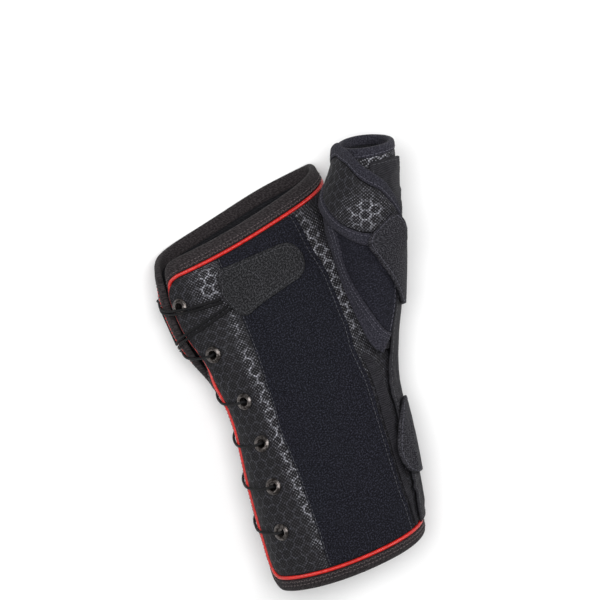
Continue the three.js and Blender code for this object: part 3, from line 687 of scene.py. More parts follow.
@dataclass
class ThumbCut:
    """The opening in the shell that the thumb sleeve stands in."""

    thumb: ThumbSleeveForm
    depth: float
    start: float

    def reach(self, points: Array) -> tuple[Array, Array, Array]:
        """How far points lie from the thumb sleeve's axis, as shares of its section, and that axis.

        Args:
            points: The points.

        Returns:
            The shares, and the axis's side and height.
        """
        side, width, lift, half = self.thumb.axis(points[..., 1])
        across = (points[..., 0] - side) / (width - self.depth)
        up = (points[..., 2] - lift) / (half - self.depth)
        return np.hypot(across, up), side, lift

    def inside(self, points: Array) -> Array:
        """Which points lie in the opening."""
        share, _, _ = self.reach(points)
        return (share < 1) & (points[..., 1] > self.start)

    def snap(self, points: Array) -> Array:
        """The points moved onto the opening's wall."""
        share, side, lift = self.reach(points)
        x, z = side + (points[..., 0] - side) / share, lift + (points[..., 2] - lift) / share
        return np.stack([x, points[..., 1], z], axis=-1)


# A surface gives points from a row's measure, a share across and a distance out.
Surface = Callable[[Array, Array, Array], Array]
# A relief gives heights from the place across and along, the distance to the border and the points.
Relief = Callable[[Array, Array, Array, Array], Array]


@dataclass(frozen=True)
class SewnFold:
    """The dent that a seam makes in a tape and the puckers beside it, in millimetres."""

    row: float = 1.5
    width: float = 0.8
    depth: float = 0.32
    pucker: float = 0.12
    pitch: float = 2.3
    beside: float = 2.7
    spread: float = 1.5

    def relief(self, aside: Array, run: Array, drift: Array | float = 0.0) -> Array:
        """The heights of the fold.

        Args:
            aside: How far places are from the tape's edge.
            run: How far along it they are.
            drift: What makes the puckers uneven.

        Returns:
            The heights.
        """
        wave = self.pucker * np.sin(2 * np.pi * run / self.pitch + drift)
        return wave * hump(aside, self.beside, self.spread) - self.depth * hump(aside, self.row, self.width)


@dataclass
class ClothMaker:
    """Makes closed cloth walls on a surface, with rounded edges, relief and a place map in millimetres."""

    rounding: Rounding = field(default_factory=Rounding)
    wraps: bool = False
    relief: Relief | None = None
    cuts: Sequence[RoundCut | ThumbCut] = ()

    def build(self, name: str, rows: Array, columns: Array, surface: Surface, inner: float,
              outer: float) -> Cloth:
        """Builds one piece.

        Args:
            name: The piece's name.
            rows: The measure of each row along the cloth.
            columns: Shares across it from 0 to 1.
            surface: Gives points from a row's measure, a share across and a distance out.
            inner: The inner face's distance out.
            outer: The outer face's distance out.

        Returns:
            The cloth.
        """
        at, share = np.meshgrid(rows, columns, indexing="ij")
        middle, half = (inner + outer) / 2, (outer - inner) / 2
        base = surface(at, share, np.full(at.shape, middle))
        across, along = arc_length(base, 1), arc_length(base, 0)
        width, length = across[:, -1:], along[-1:, :]
        borders = [(along, self.rounding.start), (length - along, self.rounding.end)]
        if not self.wraps:
            borders += [(across, self.rounding.first), (width - across, self.rounding.last)]
        edge = np.min([np.maximum(distance, 0) for distance, _ in borders], axis=0)
        swell = np.prod([self.arch(distance, radius) for distance, radius in borders], axis=0)
        u, v = across - width / 2, along - length / 2
        extra = self.relief(u, v, edge, base) * swell if self.relief else 0.0
        top = surface(at, share, middle + half * swell + extra)
        bottom = surface(at, share, middle - half * swell)
        centres = (base[:-1, :-1] + base[1:, :-1] + base[:-1, 1:] + base[1:, 1:]) / 4
        removed = np.zeros(centres.shape[:2], bool)
        for cut in self.cuts:
            mask = cut.inside(centres)
            rim = self.rim_of(mask)
            top[rim], bottom[rim] = cut.snap(top[rim]), cut.snap(bottom[rim])
            removed |= mask
        normals = unit(np.cross(np.gradient(top, axis=0), np.gradient(top, axis=1)))
        normals *= np.sign(np.einsum("ijk,ijk->", normals, surface(at, share, middle + 1.0 + 0 * at) - base))
        thing = self.mesh(name, top, bottom, np.stack([u, v], axis=-1), edge, removed)
        return Cloth(thing, top, normals, across, along)

    @staticmethod
    def arch(distance: Array, radius: float) -> Array:
        """How full the cloth is at a distance from a border that is rounded over a radius."""
        short = 1 - np.clip(distance / radius, 0, 1)
        return np.sqrt(1 - short * short)

    @staticmethod
    def rim_of(removed: Array) -> Array:
        """The grid's corners that lie between a removed cell and a kept one."""
        cells = np.pad(removed, 1, mode="edge")
        near = np.stack([cells[:-1, :-1], cells[1:, :-1], cells[:-1, 1:], cells[1:, 1:]])
        return near.any(axis=0) & ~near.all(axis=0)

    def mesh(self, name: str, top: Array, bottom: Array, place: Array, edge: Array,
             removed: Array) -> Thing:
        """Joins the two faces of a cloth at their open borders.

        Args:
            name: The piece's name.
            top: The outer face's grid.
            bottom: The inner face's grid.
            place: The place map's grid.
            edge: The distance of each point from the nearest border.
            removed: Which cells are cut out.

        Returns:
            The object, with the inner face on its second material.
        """
        rows, columns = top.shape[:2]
        used = columns - 1 if self.wraps else columns
        upper = np.arange(rows * used).reshape(rows, used)
        lower = upper + rows * used
        lower[[0, -1], :] = upper[[0, -1], :]
        if not self.wraps:
            lower[:, [0, -1]] = upper[:, [0, -1]]
        else:
            upper, lower = (np.concatenate([grid, grid[:, :1]], axis=1) for grid in (upper, lower))
        top_face, bottom_face = self.cells(upper), self.cells(lower)[:, ::-1]
        corner = self.cells(np.arange(rows * columns).reshape(rows, columns))
        keep = ~removed.ravel()
        sides, side_corners = self.walls(removed, upper, lower)
        faces = np.concatenate([top_face[keep], bottom_face[keep], sides])
        corners = np.concatenate([corner[keep], corner[keep][:, ::-1], side_corners])
        points = np.concatenate([top[:, :used].reshape(-1, 3), bottom[:, :used].reshape(-1, 3)])
        measure = np.concatenate([edge[:, :used].ravel(), edge[:, :used].ravel()])
        ids, packed = np.unique(faces, return_inverse=True)
        thing = mesh_object(name, points[ids], packed.reshape(faces.shape), place.reshape(-1, 2)[corners],
                            {"edge": measure[ids]})
        inside = np.zeros(len(faces), dtype=np.int32)
        inside[keep.sum():2 * keep.sum()] = 1
        thing.data.polygons.foreach_set("material_index", inside)
        return thing

    @staticmethod
    def cells(grid: Array) -> Array:
        """The corners of each cell of a grid, in turn."""
        return np.stack([grid[:-1, :-1], grid[:-1, 1:], grid[1:, 1:], grid[1:, :-1]], axis=-1).reshape(-1, 4)

    @staticmethod
    def walls(removed: Array, upper: Array, lower: Array) -> tuple[Array, Array]:
        """The faces between the two sides of the cloth round what is cut out.

        Args:
            removed: Which cells are cut out.
            upper: The outer face's points, by number.
            lower: The inner face's.

        Returns:
            The faces, and their corners in the place map.
        """
        rows, columns = removed.shape
        index = np.arange(upper.size).reshape(upper.shape)
        faces, corners = [], []
        for i, j in np.argwhere(~removed):
            ring = [(i, j), (i, j + 1), (i + 1, j + 1), (i + 1, j)]
            beside = [(i - 1, j), (i, j + 1), (i + 1, j), (i, j - 1)]
            for k, (row, column) in enumerate(beside):
                if 0 <= row < rows and 0 <= column < columns and removed[row, column]:
                    a, b = ring[k], ring[(k + 1) % 4]
                    faces.append([upper[b], upper[a], lower[a], lower[b]])
                    corners.append([index[b], index[a], index[a], index[b]])
        return np.array(faces, int).reshape(-1, 4), np.array(corners, int).reshape(-1, 4)


@dataclass(frozen=True)
class Stitch:
    """One kind of sewing: its pitch, length, sideways throw and thread, in millimetres."""

    pitch: float = 2.4
    length: float = 1.9
    throw: float = 0.0
    thread: float = 0.34
    proud: float = 0.1
    rings: int = 6
    sides: int = 6

    def along(self, path: Path) -> tuple[Array, Array]:
        """Stitches along a path.

        Args:
            path: The line that the needle follows.

        Returns:
            The points and the four-cornered faces of all the stitches.
        """
        run = arc_length(path.points)
        count = int(run[-1] / self.pitch)
        if count < 1:
            return np.zeros((0, 3)), np.zeros((0, 4), int)
        start = (np.arange(count) + 0.5) * self.pitch - self.length / 2
        turn = np.where(np.arange(count) % 2 == 0, 1.0, -1.0)
        a, _ = self.place(path, run, start, -turn * self.throw / 2)
        b, out = self.place(path, run, start + self.length, turn * self.throw / 2)
        along, out = unit(b - a), unit(out)
        side = unit(np.cross(out, along))
        t = np.linspace(0, 1, self.rings)
        height = self.proud + self.thread * (0.35 * np.sin(np.pi * t) - 0.45 * (1 - np.sin(np.pi * t)))
        radius = self.thread / 2 * (0.45 + 0.55 * np.sin(np.pi * t) ** 0.5)
        around = np.linspace(0, 2 * np.pi, self.sides, endpoint=False)
        line = a[:, None] + (b - a)[:, None] * t[None, :, None] + out[:, None] * height[None, :, None]
        ring = side[:, None, None] * np.cos(around)[None, None, :, None]
        ring = ring + out[:, None, None] * np.sin(around)[None, None, :, None]
        points = line[:, :, None] + ring * radius[None, :, None, None]
        index = np.arange(self.rings * self.sides).reshape(self.rings, self.sides)
        index = np.concatenate([index, index[:, :1]], axis=1)
        faces = np.concatenate([ClothMaker.cells(index), self.caps(index)])
        whole = faces[None] + (np.arange(count) * self.rings * self.sides)[:, None, None]
        return points.reshape(-1, 3), whole.reshape(-1, 4)

    def caps(self, index: Array) -> Array:
        """The two ends of a stitch, each in two faces."""
        first, last = index[0, :-1], index[-1, :-1]
        return np.array([first[[3, 2, 1, 0]], first[[5, 4, 3, 0]], last[[0, 1, 2, 3]], last[[0, 3, 4, 5]]])

    @staticmethod
    def place(path: Path, run: Array, at: Array, aside: Array) -> tuple[Array, Array]:
        """Points at distances along a path, moved sideways, and the direction out there.

        Args:
            path: The path.
            run: The distance at each of its points.
            at: The distances wanted.
            aside: Millimetres sideways.

        Returns:
            The points and the directions.
        """
        out = unit(read_line(path.normals, run, at))
        ahead, behind = (read_line(path.points, run, at + step) for step in (0.5, -0.5))
        side = unit(np.cross(out, unit(ahead - behind)))
        return read_line(path.points, run, at) + side * aside[:, None], out


def sew(name: str, runs: Sequence[tuple[Stitch, Path]]) -> Thing:
    """Makes one piece of thread from several runs of stitches.

    Args:
        name: The piece's name.
        runs: Each kind of stitch with the line that it follows.

    Returns:
        The thread.
    """
    points, faces, total = [], [], 0
    for stitch, path in runs:
        p, f = stitch.along(path)
        points.append(p)
        faces.append(f + total)
        total += len(p)
    return mesh_object(name, np.concatenate(points), np.concatenate(faces))


def spline(points: Array, step: float) -> Array:
    """A smooth line through chosen points, with a point every step.

    Args:
        points: The chosen points.
        step: Millimetres between the new ones.

    Returns:
        The new points.
    """
    p = np.concatenate([2 * points[:1] - points[1:2], points, 2 * points[-1:] - points[-2:-1]])
    line = []
    for i in range(1, len(p) - 2):
        knots = np.cumsum([0.0] + [np.linalg.norm(p[i + k] - p[i + k - 1]) ** 0.5 for k in (0, 1, 2)])
        count = max(int(np.linalg.norm(p[i + 1] - p[i]) / step), 2)
        t = np.linspace(knots[1], knots[2], count, endpoint=False)[:, None]
        a = [((knots[k + 1] - t) * p[i + k - 1] + (t - knots[k]) * p[i + k]) / (knots[k + 1] - knots[k])
             for k in range(3)]
        b = [((knots[k + 2] - t) * a[k] + (t - knots[k]) * a[k + 1]) / (knots[k + 2] - knots[k])
             for k in range(2)]
        line.append(((knots[2] - t) * b[0] + (t - knots[1]) * b[1]) / (knots[2] - knots[1]))
    return np.concatenate(line + [points[-1:]])


def tube(name: str, line: Array, radius: float, sides: int,
         relief: Callable[[Array, Array], Array] | None = None) -> Thing:
    """Makes a closed round cord along a line of points.

    Args:
        name: The piece's name.
        line: The points of its middle, in millimetres.
        radius: Its radius.
        sides: How many sides it has.
        relief: Extra radius from the distance round and the distance along.

    Returns:
        The cord, with its place map in millimetres round and along.
    """
    tangent = unit(np.gradient(line, axis=0))
    normal = np.zeros_like(line)
    start = np.array([0.0, 0.0, 1.0]) if abs(tangent[0, 2]) < 0.9 else np.array([1.0, 0.0, 0.0])
    normal[0] = unit(np.cross(tangent[0], start))
    for i in range(1, len(line)):
        turned = normal[i - 1] - tangent[i] * np.dot(normal[i - 1], tangent[i])
        normal[i] = turned / np.linalg.norm(turned)
    side = np.cross(tangent, normal)
    run = arc_length(line)
    around = np.linspace(0, 2 * np.pi, sides + 1)
    rim, length = np.meshgrid(around * radius, run)
    extra = relief(rim, length) if relief else 0 * rim
    circle = normal[:, None] * np.cos(around)[None, :, None] + side[:, None] * np.sin(around)[None, :, None]
    points = (line[:, None] + circle * (radius + extra)[..., None])[:, :-1].reshape(-1, 3)
    index = np.arange(len(line) * sides).reshape(len(line), sides)
    index = np.concatenate([index, index[:, :1]], axis=1)
    corner = np.arange(len(line) * (sides + 1)).reshape(len(line), sides + 1)
    ends = []
    for row, step in ((index[0], -1), (index[-1], 1)):
        fans = [[row[0], row[k], row[k + 1], row[min(k + 2, sides - 1)]] for k in range(1, sides - 2, 2)]
        ends += [fan[::step] for fan in fans]
    faces = np.concatenate([ClothMaker.cells(index), np.array(ends)])
    place = np.stack([rim, length], axis=-1).reshape(-1, 2)
    uv = np.concatenate([place[ClothMaker.cells(corner)], np.zeros((len(ends), 4, 2))])
    return mesh_object(name, points, faces, uv)


class Side(Enum):
    """The two halves of the sleeve, with the way that each one's free edge turns."""

    PALMAR = -1
    DORSAL = 1


@dataclass(frozen=True)
class Trim:
    """The sizes of the sleeve's trims, in millimetres."""

    gap: float = 0.3
    wall: float = 3.0
    piping: float = 2.0
    distal_binding: float = 8.0
    proximal_binding: float = 6.0
    laced_binding: float = 5.5
    thumb_binding: float = 5.5
    strap_binding: float = 6.5
    rise: float = 0.6
    corner: float = 9.0
    roll_depth: float = 4.5
    roll_share: float = 0.75
    roll_tuck: float = 2.3
    tuck_share: float = 0.8

    @property
    def seam(self) -> float:
        """The room that the piping takes between a panel and its binding."""
        return self.piping + 2 * self.gap


@dataclass
class Edge:
    """Places along an edge of the sleeve: shares along it and angles round it."""

    share: Array
    angle: Array

    def between(self, other: "Edge", at: Array, t: Array) -> tuple[Array, Array]:
        """Places between this edge and another, by their row and their share across."""
        i = at.astype(int)
        return lerp(self.share[i], other.share[i], t), lerp(self.angle[i], other.angle[i], t)


@dataclass
class SleeveLines:
    """The lines that the sleeve's panels, pipings and bindings run along."""

    shell: ShellForm = field(default_factory=ShellForm)
    trim: Trim = field(default_factory=Trim)
    seam_angle: float = 96.0
    overlap: float = 0.2
    roll_start: tuple[float, float] = (0.6, 0.7)
    roll_end: float = 0.03
    roll_angles: tuple[float, float] = (45.0, 53.0)
    upper_steps: int = 110
    lower_steps: int = 100

    def __post_init__(self) -> None:
        """Works out where the panels start and end."""
        self.run = float(self.shell.distal_end(0.0) - self.shell.proximal_end(0.0))
        self.start = (self.trim.proximal_binding + self.trim.seam) / self.run
        self.end = 1 - (self.trim.distal_binding + self.trim.seam) / self.run

    def inset(self, share: Array) -> Array:
        """How far a rounded corner draws a panel's edge in, in millimetres."""
        reach = np.clip(np.minimum(share - self.start, self.end - share) * self.run, 0, self.trim.corner)
        return self.trim.corner - np.sqrt(self.trim.corner**2 - (self.trim.corner - reach) ** 2)

    def laced(self, side: Side, share: Array) -> Array:
        """The angle of a panel's laced edge."""
        angle = read_table(LACED_LINES, share)[0 if side is Side.PALMAR else 1]
        return angle - side.value * self.inset(share) / self.shell.scale(share, angle)[0]

    def seam(self, side: Side) -> float:
        """The angle of a panel's edge at the seam on the thumb side."""
        degree = float(self.shell.scale(np.array(0.5), np.array(self.seam_angle))[0])
        return self.seam_angle + self.trim.gap / degree + (self.overlap if side is Side.PALMAR else 0.0)

    def shares(self, step: float) -> Array:
        """Shares along a panel, close together where its corners turn.

        Args:
            step: The usual step in millimetres.

        Returns:
            The shares.
        """
        turn = self.trim.corner * (1 - np.cos(np.radians(np.linspace(0, 90, 13)))) / self.run
        start, end = self.start + turn[-1], self.end - turn[-1]
        count = int((end - start) * self.run / step)
        middle = np.linspace(start, end, count)
        return np.concatenate([self.start + turn[:-1], middle, self.end - turn[-2::-1]])

    def free_edge(self, side: Side, step: float = 1.3) -> Edge:
        """The free edge of a panel: its upper end, its laced line and its lower end.

        Args:
            side: The half of the sleeve.
            step: The step along the laced line.

        Returns:
            The edge.
        """
        shares, seam = self.shares(step)[::-1], self.seam(side)
        angles = self.laced(side, shares)
        upper = np.linspace(seam, angles[0], self.upper_steps)[:-1]
        lower = np.linspace(angles[-1], seam, self.lower_steps)[1:]
        share = np.concatenate([np.full(len(upper), self.end), shares, np.full(len(lower), self.start)])
        return Edge(share, np.concatenate([upper, angles, lower]))

    def moved_out(self, edge: Edge, distance: Array | float, side: Side) -> Edge:
        """The same edge moved away from its panel, square to its own direction.

        Args:
            edge: The panel's free edge.
            distance: Millimetres away.
            side: The half of the sleeve.

        Returns:
            The moved edge.
        """
        degree, along = self.shell.scale(edge.share, edge.angle)
        angle = np.concatenate([edge.angle[:1], edge.angle, edge.angle[-1:]])
        share = np.concatenate([edge.share[:1], edge.share, edge.share[-1:]])
        run = unit(np.stack([(angle[2:] - angle[:-2]) * degree, (share[2:] - share[:-2]) * along], axis=-1))
        aside = np.stack([-run[:, 1], run[:, 0]], axis=-1) * side.value
        aside[[0, -1], 0] = 0
        return Edge(edge.share + aside[:, 1] * distance / along, edge.angle + aside[:, 0] * distance / degree)

    def binding_width(self, edge: Edge) -> Array:
        """The binding's width: wide at the upper end, narrow down the laced line.

        Args:
            edge: The panel's free edge.

        Returns:
            The widths.
        """
        upper = smooth((self.end - edge.share) * self.run, 0, self.trim.corner)
        lower = smooth((edge.share - self.start) * self.run, 0, self.trim.corner)
        extra = (self.trim.proximal_binding - self.trim.laced_binding) * (1 - lower)
        return lerp(self.trim.distal_binding, self.trim.laced_binding, upper) + extra

    def roll(self, edge: Edge, side: Side) -> Array:
        """How far the palmar laced edge rolls in near its upper end, from none to full.

        Args:
            edge: The panel's free edge.
            side: The half of the sleeve.

        Returns:
            Shares from 0 to 1.
        """
        if side is Side.DORSAL:
            return np.zeros_like(edge.share)
        (low, high), last = self.roll_start, self.roll_end
        ends = smooth(edge.share, low, high) * (1 - smooth(edge.share, self.end - last, self.end))
        return ends * smooth(-edge.angle, *self.roll_angles)


@dataclass
class Drape:
    """A short cloth simulation that lets a cover settle into small waves on its padding."""

    fullness: float = 0.035
    pressure: float = 0.4
    frames: int = 16
    cap: float = 0.85
    seed: int = 3

    def waves(self, name: str, grid: Array, pinned: Array, closed: bool) -> Array:
        """Lets a cover settle.

        Args:
            name: The simulation's name.
            grid: The cover's points in millimetres.
            pinned: How firmly each point is held, from 0 to 1.
            closed: Whether the last column joins the first.

        Returns:
            How far each point moved out, in millimetres.
        """
        rows, columns = grid.shape[:2]
        index = np.arange(rows * columns).reshape(rows, columns)
        if closed:
            index = np.concatenate([index, index[:, :1]], axis=1)
        wide = np.concatenate([grid[:, -1:], grid, grid[:, :1]], axis=1) if closed else grid
        normals = unit(np.cross(np.gradient(wide, axis=0), np.gradient(wide, axis=1)))
        normals = normals[:, 1:-1] if closed else normals
        middle = grid.mean(axis=1, keepdims=True)
        normals *= np.sign(np.einsum("ijk,ijk->", normals, grid - middle))
        start = grid + normals * np.random.default_rng(self.seed).uniform(-0.15, 0.15, (rows, columns, 1))
        mesh = bpy.data.meshes.new(name)
        mesh.from_pydata((start.reshape(-1, 3) * MM).tolist(), [], ClothMaker.cells(index).tolist())
        thing = bpy.data.objects.new(name, mesh)
        bpy.context.scene.collection.objects.link(thing)
        group = thing.vertex_groups.new(name="held")
        for vertex, weight in enumerate(pinned.ravel()):
            group.add([vertex], float(weight), "REPLACE")
        modifier = thing.modifiers.new("Cloth", "CLOTH")
        settings = modifier.settings
        settings.quality, settings.mass = 6, 0.15
        settings.tension_stiffness = settings.compression_stiffness = 12
        settings.shear_stiffness, settings.bending_stiffness = 6, 0.4
        settings.vertex_group_mass, settings.pin_stiffness = "held", 1.0
        settings.shrink_min, settings.use_pressure = -self.fullness, True
        settings.uniform_pressure_force = self.pressure
        settings.effector_weights.gravity = 0
        modifier.collision_settings.use_collision = False
        modifier.point_cache.frame_start, modifier.point_cache.frame_end = 1, self.frames
        for frame_number in range(1, self.frames + 1):
            bpy.context.scene.frame_set(frame_number)
        settled = thing.evaluated_get(bpy.context.evaluated_depsgraph_get()).to_mesh()
        moved = np.empty(len(settled.vertices) * 3, np.float32)
        settled.vertices.foreach_get("co", moved)
        bpy.context.scene.frame_set(1)
        bpy.data.objects.remove(thing)
        out = np.einsum("ijk,ijk->ij", moved.reshape(grid.shape) / MM - grid, normals)
        out = out - np.median(out)
        LOG.info("%s settled, moving up to %.2f mm", name, float(np.abs(out).max()))
        return self.cap * np.tanh(out / self.cap) * (1 - pinned)


Socket = bpy.types.NodeSocket
Value = Socket | float
Shade = Socket | Sequence[float]


def srgb(red: int, green: int, blue: int) -> tuple[float, float, float, float]:
    """A display colour from 0 to 255 as the renderer's own."""
    parts = [c / 255 / 12.92 if c <= 10 else ((c / 255 + 0.055) / 1.055) ** 2.4 for c in (red, green, blue)]
    return (parts[0], parts[1], parts[2], 1.0)


def shades(base: Colour, down: int, up: int) -> list[tuple[float, float, float, float]]:
    """A colour some steps darker and some steps lighter."""
    return [srgb(*[max(c + step, 0) for c in base]) for step in (-down, up)]


class Graph:
    """The nodes of one finish, with short names for the usual steps."""

    def __init__(self, name: str, **constants: float | tuple[float, ...]) -> None:
        """Starts a finish.

        Args:
            name: The material's name.
            constants: Values of the shader's sockets, with underscores for spaces.
        """
        self.material = bpy.data.materials.new(name)
        self.material.use_nodes = True
        self.tree = self.material.node_tree
        self.tree.nodes.clear()
        self.shader = self.node("BsdfPrincipled")
        output = self.node("OutputMaterial")
        self.tree.links.new(self.shader.outputs["BSDF"], output.inputs["Surface"])
        for key, value in constants.items():
            self.shader.inputs[key.replace("_", " ")].default_value = value

    def node(self, kind: str, inputs: dict[str | int, Value | Sequence[float]] | None = None,
             **settings: object) -> bpy.types.Node:
        """Adds a node.

        Args:
            kind: Its type.
            inputs: What its sockets are linked or set to.
            settings: Its settings.

        Returns:
            The node.
        """
        made = self.tree.nodes.new("ShaderNode" + kind)
        for key, value in settings.items():
            setattr(made, key, value)
        for key, value in (inputs or {}).items():
            self.put(made.inputs[key], value)
        return made

    def put(self, socket: Socket, value: Value | Sequence[float]) -> None:
        """Links a socket to another, or sets it to a value.

        Args:
            socket: The socket.
            value: The other socket, or the value.
        """
        if isinstance(value, bpy.types.NodeSocket):
            self.tree.links.new(value, socket)
        else:
            socket.default_value = value

    def math(self, operation: str, *values: Value) -> Socket:
        """One step of arithmetic."""
        return self.node("Math", dict(enumerate(values)), operation=operation).outputs[0]

    def times(self, first: Value, second: Value) -> Socket:
        """Two values multiplied."""
        return self.math("MULTIPLY", first, second)

    def plus(self, first: Value, second: Value) -> Socket:
        """Two values added."""
        return self.math("ADD", first, second)

    def scaled(self, value: Value, scale: Value, shift: Value) -> Socket:
        """A value multiplied, with another added to it."""
        return self.math("MULTIPLY_ADD", value, scale, shift)

    def vector(self, operation: str, *values: Value | Sequence[float]) -> bpy.types.Node:
        """One step of vector arithmetic."""
        return self.node("VectorMath", dict(enumerate(values)), operation=operation)

    def rise(self, value: Value, low: float, high: float, start: float = 0.0, end: float = 1.0) -> Socket:
        """Goes smoothly from start to end as the value goes from low to high."""
        inputs = {"Value": value, "From Min": low, "From Max": high, "To Min": start, "To Max": end}
        return self.node("MapRange", inputs, interpolation_type="SMOOTHSTEP").outputs[0]

    def blend(self, share: Value, first: Shade, second: Shade) -> Socket:
        """A colour between two colours."""
        return self.node("Mix", {0: share, 6: first, 7: second}, data_type="RGBA").outputs[2]

    def noise(self, at: Socket, scale: float, detail: float = 2.0,
              stretch: tuple[float, float] = (1, 1)) -> Socket:
        """Noise from about 0 to 1 over a place, with so many bumps in each unit of it."""
        spread = self.vector("MULTIPLY", at, (*stretch, 1.0)).outputs[0]
        return self.node("TexNoise", {"Vector": spread, "Scale": scale, "Detail": detail}).outputs[0]

    def place(self) -> Socket:
        """The piece's own place map in millimetres."""
        return self.node("UVMap", uv_map="UVMap").outputs[0]

    def turned(self, at: Socket, turn: float) -> Socket:
        """A place turned by an angle in degrees."""
        inputs = {"Vector": at, "Angle": math.radians(turn)}
        return self.node("VectorRotate", inputs, rotation_type="Z_AXIS").outputs[0]

    def object_place(self) -> Socket:
        """The place in the piece's own space, in metres."""
        return self.node("TexCoord").outputs["Object"]

    def split(self, at: Socket) -> tuple[Socket, Socket]:
        """The two measures of a place."""
        made = self.node("SeparateXYZ", {0: at})
        return made.outputs[0], made.outputs[1]

    def wave(self, value: Value, pitch: float, phase: Value = 0.0) -> Socket:
        """A wave from 0 to 1 that repeats over a pitch in millimetres."""
        turned = self.scaled(value, 2 * math.pi / pitch, phase)
        return self.scaled(self.math("SINE", turned), 0.5, 0.5)

    def relief(self, height: Socket, depth: float, strength: float = 1.0) -> None:
        """Gives the surface a fine relief.

        Args:
            height: Heights from about 0 to 1.
            depth: How deep that is, in millimetres.
            strength: How much of it shows.
        """
        made = self.node("Bump", {"Strength": strength, "Distance": depth * MM, "Height": height})
        self.put(self.shader.inputs["Normal"], made.outputs[0])

    def finish(self, colour: Socket, roughness: Value) -> Material:
        """Ends with the colour and the roughness."""
        self.put(self.shader.inputs["Base Color"], colour)
        self.put(self.shader.inputs["Roughness"], roughness)
        return self.material


@dataclass(frozen=True)
class PaintedHighlight:
    """A stretch of printed cloth that catches the light, painted into its colour as a painted highlight,
    placed in millimetres on the table.
    """

    centre: tuple[float, float]
    reach: tuple[float, float]
    lean: float = 0.0


@dataclass(frozen=True)
class PrintCloth:
    """Dark mesh cloth with a honeycomb drawn in small glossy dots, and painted highlights where the print
    catches the light.
    """

    name: str = "print cloth"
    cell: float = 5.6
    mesh: float = 1.8
    turn: float = 0.0
    base: Colour = (25, 24, 28)
    print: Colour = (66, 66, 74)
    # The painted highlight's colour, for the print lines and the mesh dots.
    glint: Colour = (192, 192, 202)
    # Patches on the table where a painted highlight lightens the print's colour.
    painted_highlights: tuple[PaintedHighlight, ...] = (
        PaintedHighlight((-20.6, -6.0), (3.6, 86.0), 0.093),
        PaintedHighlight((-34.0, 78.8), (9.0, 12.0)),
        PaintedHighlight((25.4, 70.0), (8.0, 46.0), 0.161),
        PaintedHighlight((54.2, 90.4), (11.5, 9.5)),
        PaintedHighlight((66.7, 115.6), (9.0, 6.0)),
    )

    def build(self) -> Material:
        """Makes the material.

        Returns:
            The material.
        """
        g = Graph(self.name, Specular_IOR_Level=0.3)
        at = g.turned(g.place(), self.turn)
        u, v = g.split(at)
        rising = g.wave(g.plus(u, v), self.mesh)
        knit = g.times(rising, g.wave(g.math("SUBTRACT", u, v), self.mesh))
        dots = g.rise(knit, 0.25, 0.7)
        line = g.rise(self.edge(g, at), 0.04, 0.13, 1.0, 0.0)
        worn = g.rise(g.noise(at, 0.8, 3.0), 0.38, 0.6, 0.1, 1.0)
        printed = g.times(g.times(line, worn), g.scaled(dots, 0.7, 0.3))
        uneven = g.noise(at, 0.2, 3.0)
        # Painted highlight: masks for the patches where the print lines, and more widely (near) the mesh
        # dots, are lightened towards the glint colour.
        painted_highlight_mask, near = self.painted_highlight_mask(g, uneven, 1.0), self.painted_highlight_mask(g, uneven, 2.6)
        # Painted glint specks: mesh dots turned towards the glint colour within the wider painted highlight.
        painted_glint_specks = g.times(near, g.rise(g.noise(at, 0.7, 2.0), 0.42, 0.68, 0.03, 0.42))
        dark, light = shades(self.base, 16, 20)
        cloth = g.blend(dots, dark, g.blend(painted_glint_specks, light, srgb(*self.glint)))
        colour = g.blend(printed, cloth, g.blend(painted_highlight_mask, srgb(*self.print), srgb(*self.glint)))
        g.relief(g.scaled(printed, 0.8, g.times(knit, 0.5)), 0.12)
        return g.finish(colour, g.scaled(printed, -0.4, 0.78))

    def painted_highlight_mask(self, g: Graph, uneven: Socket, grow: float) -> Socket:
        """Where a highlight is painted into the print's colour.

        Args:
            g: The material's nodes.
            uneven: Noise that frays the painted highlight's borders.
            grow: How much wider than its painted highlight patches it is.

        Returns:
            From 0 to 1.
        """
        x, y = g.split(g.object_place())
        total = 0.0
        for highlight_patch in self.painted_highlights:
            (wide, long), (east, north) = highlight_patch.reach, highlight_patch.centre
            up = g.scaled(y, 1000.0, -north)
            side = g.scaled(up, highlight_patch.lean, g.scaled(x, 1000.0, -east))
            across, along = g.math("DIVIDE", side, wide), g.math("DIVIDE", up, long)
            far = g.plus(g.times(across, across), g.times(along, along))
            frayed = g.scaled(uneven, 2.4, g.math("DIVIDE", far, grow))
            total = g.math("MAXIMUM", g.rise(frayed, 1.3, 2.1, 1.0, 0.0), total)
        return total

    def edge(self, g: Graph, at: Socket) -> Socket:
        """How far a place is from its cell's border, as a share of the cell.

        Args:
            g: The material's nodes.
            at: The place.

        Returns:
            The share.
        """
        step = (1.0, math.sqrt(3), 1.0)
        cell = g.vector("MULTIPLY_ADD", at, (1 / self.cell,) * 3, (400.0, 400 * math.sqrt(3), 0.0)).outputs[0]
        half = (0.5, math.sqrt(3) / 2, 0.0)
        first = g.vector("SUBTRACT", g.vector("MODULO", cell, step).outputs[0], half).outputs[0]
        moved = g.vector("ADD", cell, half).outputs[0]
        second = g.vector("SUBTRACT", g.vector("MODULO", moved, step).outputs[0], half).outputs[0]
        flat = [g.vector("MULTIPLY", v, (1.0, 1.0, 0.0)).outputs[0] for v in (first, second)]
        lengths = [g.vector("LENGTH", v).outputs[1] for v in flat]
        nearer = g.math("LESS_THAN", *lengths)
        mixed = g.node("Mix", {0: nearer, 4: flat[1], 5: flat[0]}, data_type="VECTOR")
        inside = g.vector("ABSOLUTE", mixed.outputs[1]).outputs[0]
        slant = g.vector("DOT_PRODUCT", inside, (0.5, math.sqrt(3) / 2, 0.0)).outputs[1]
        return g.math("SUBTRACT", 0.5, g.math("MAXIMUM", g.split(inside)[0], slant))


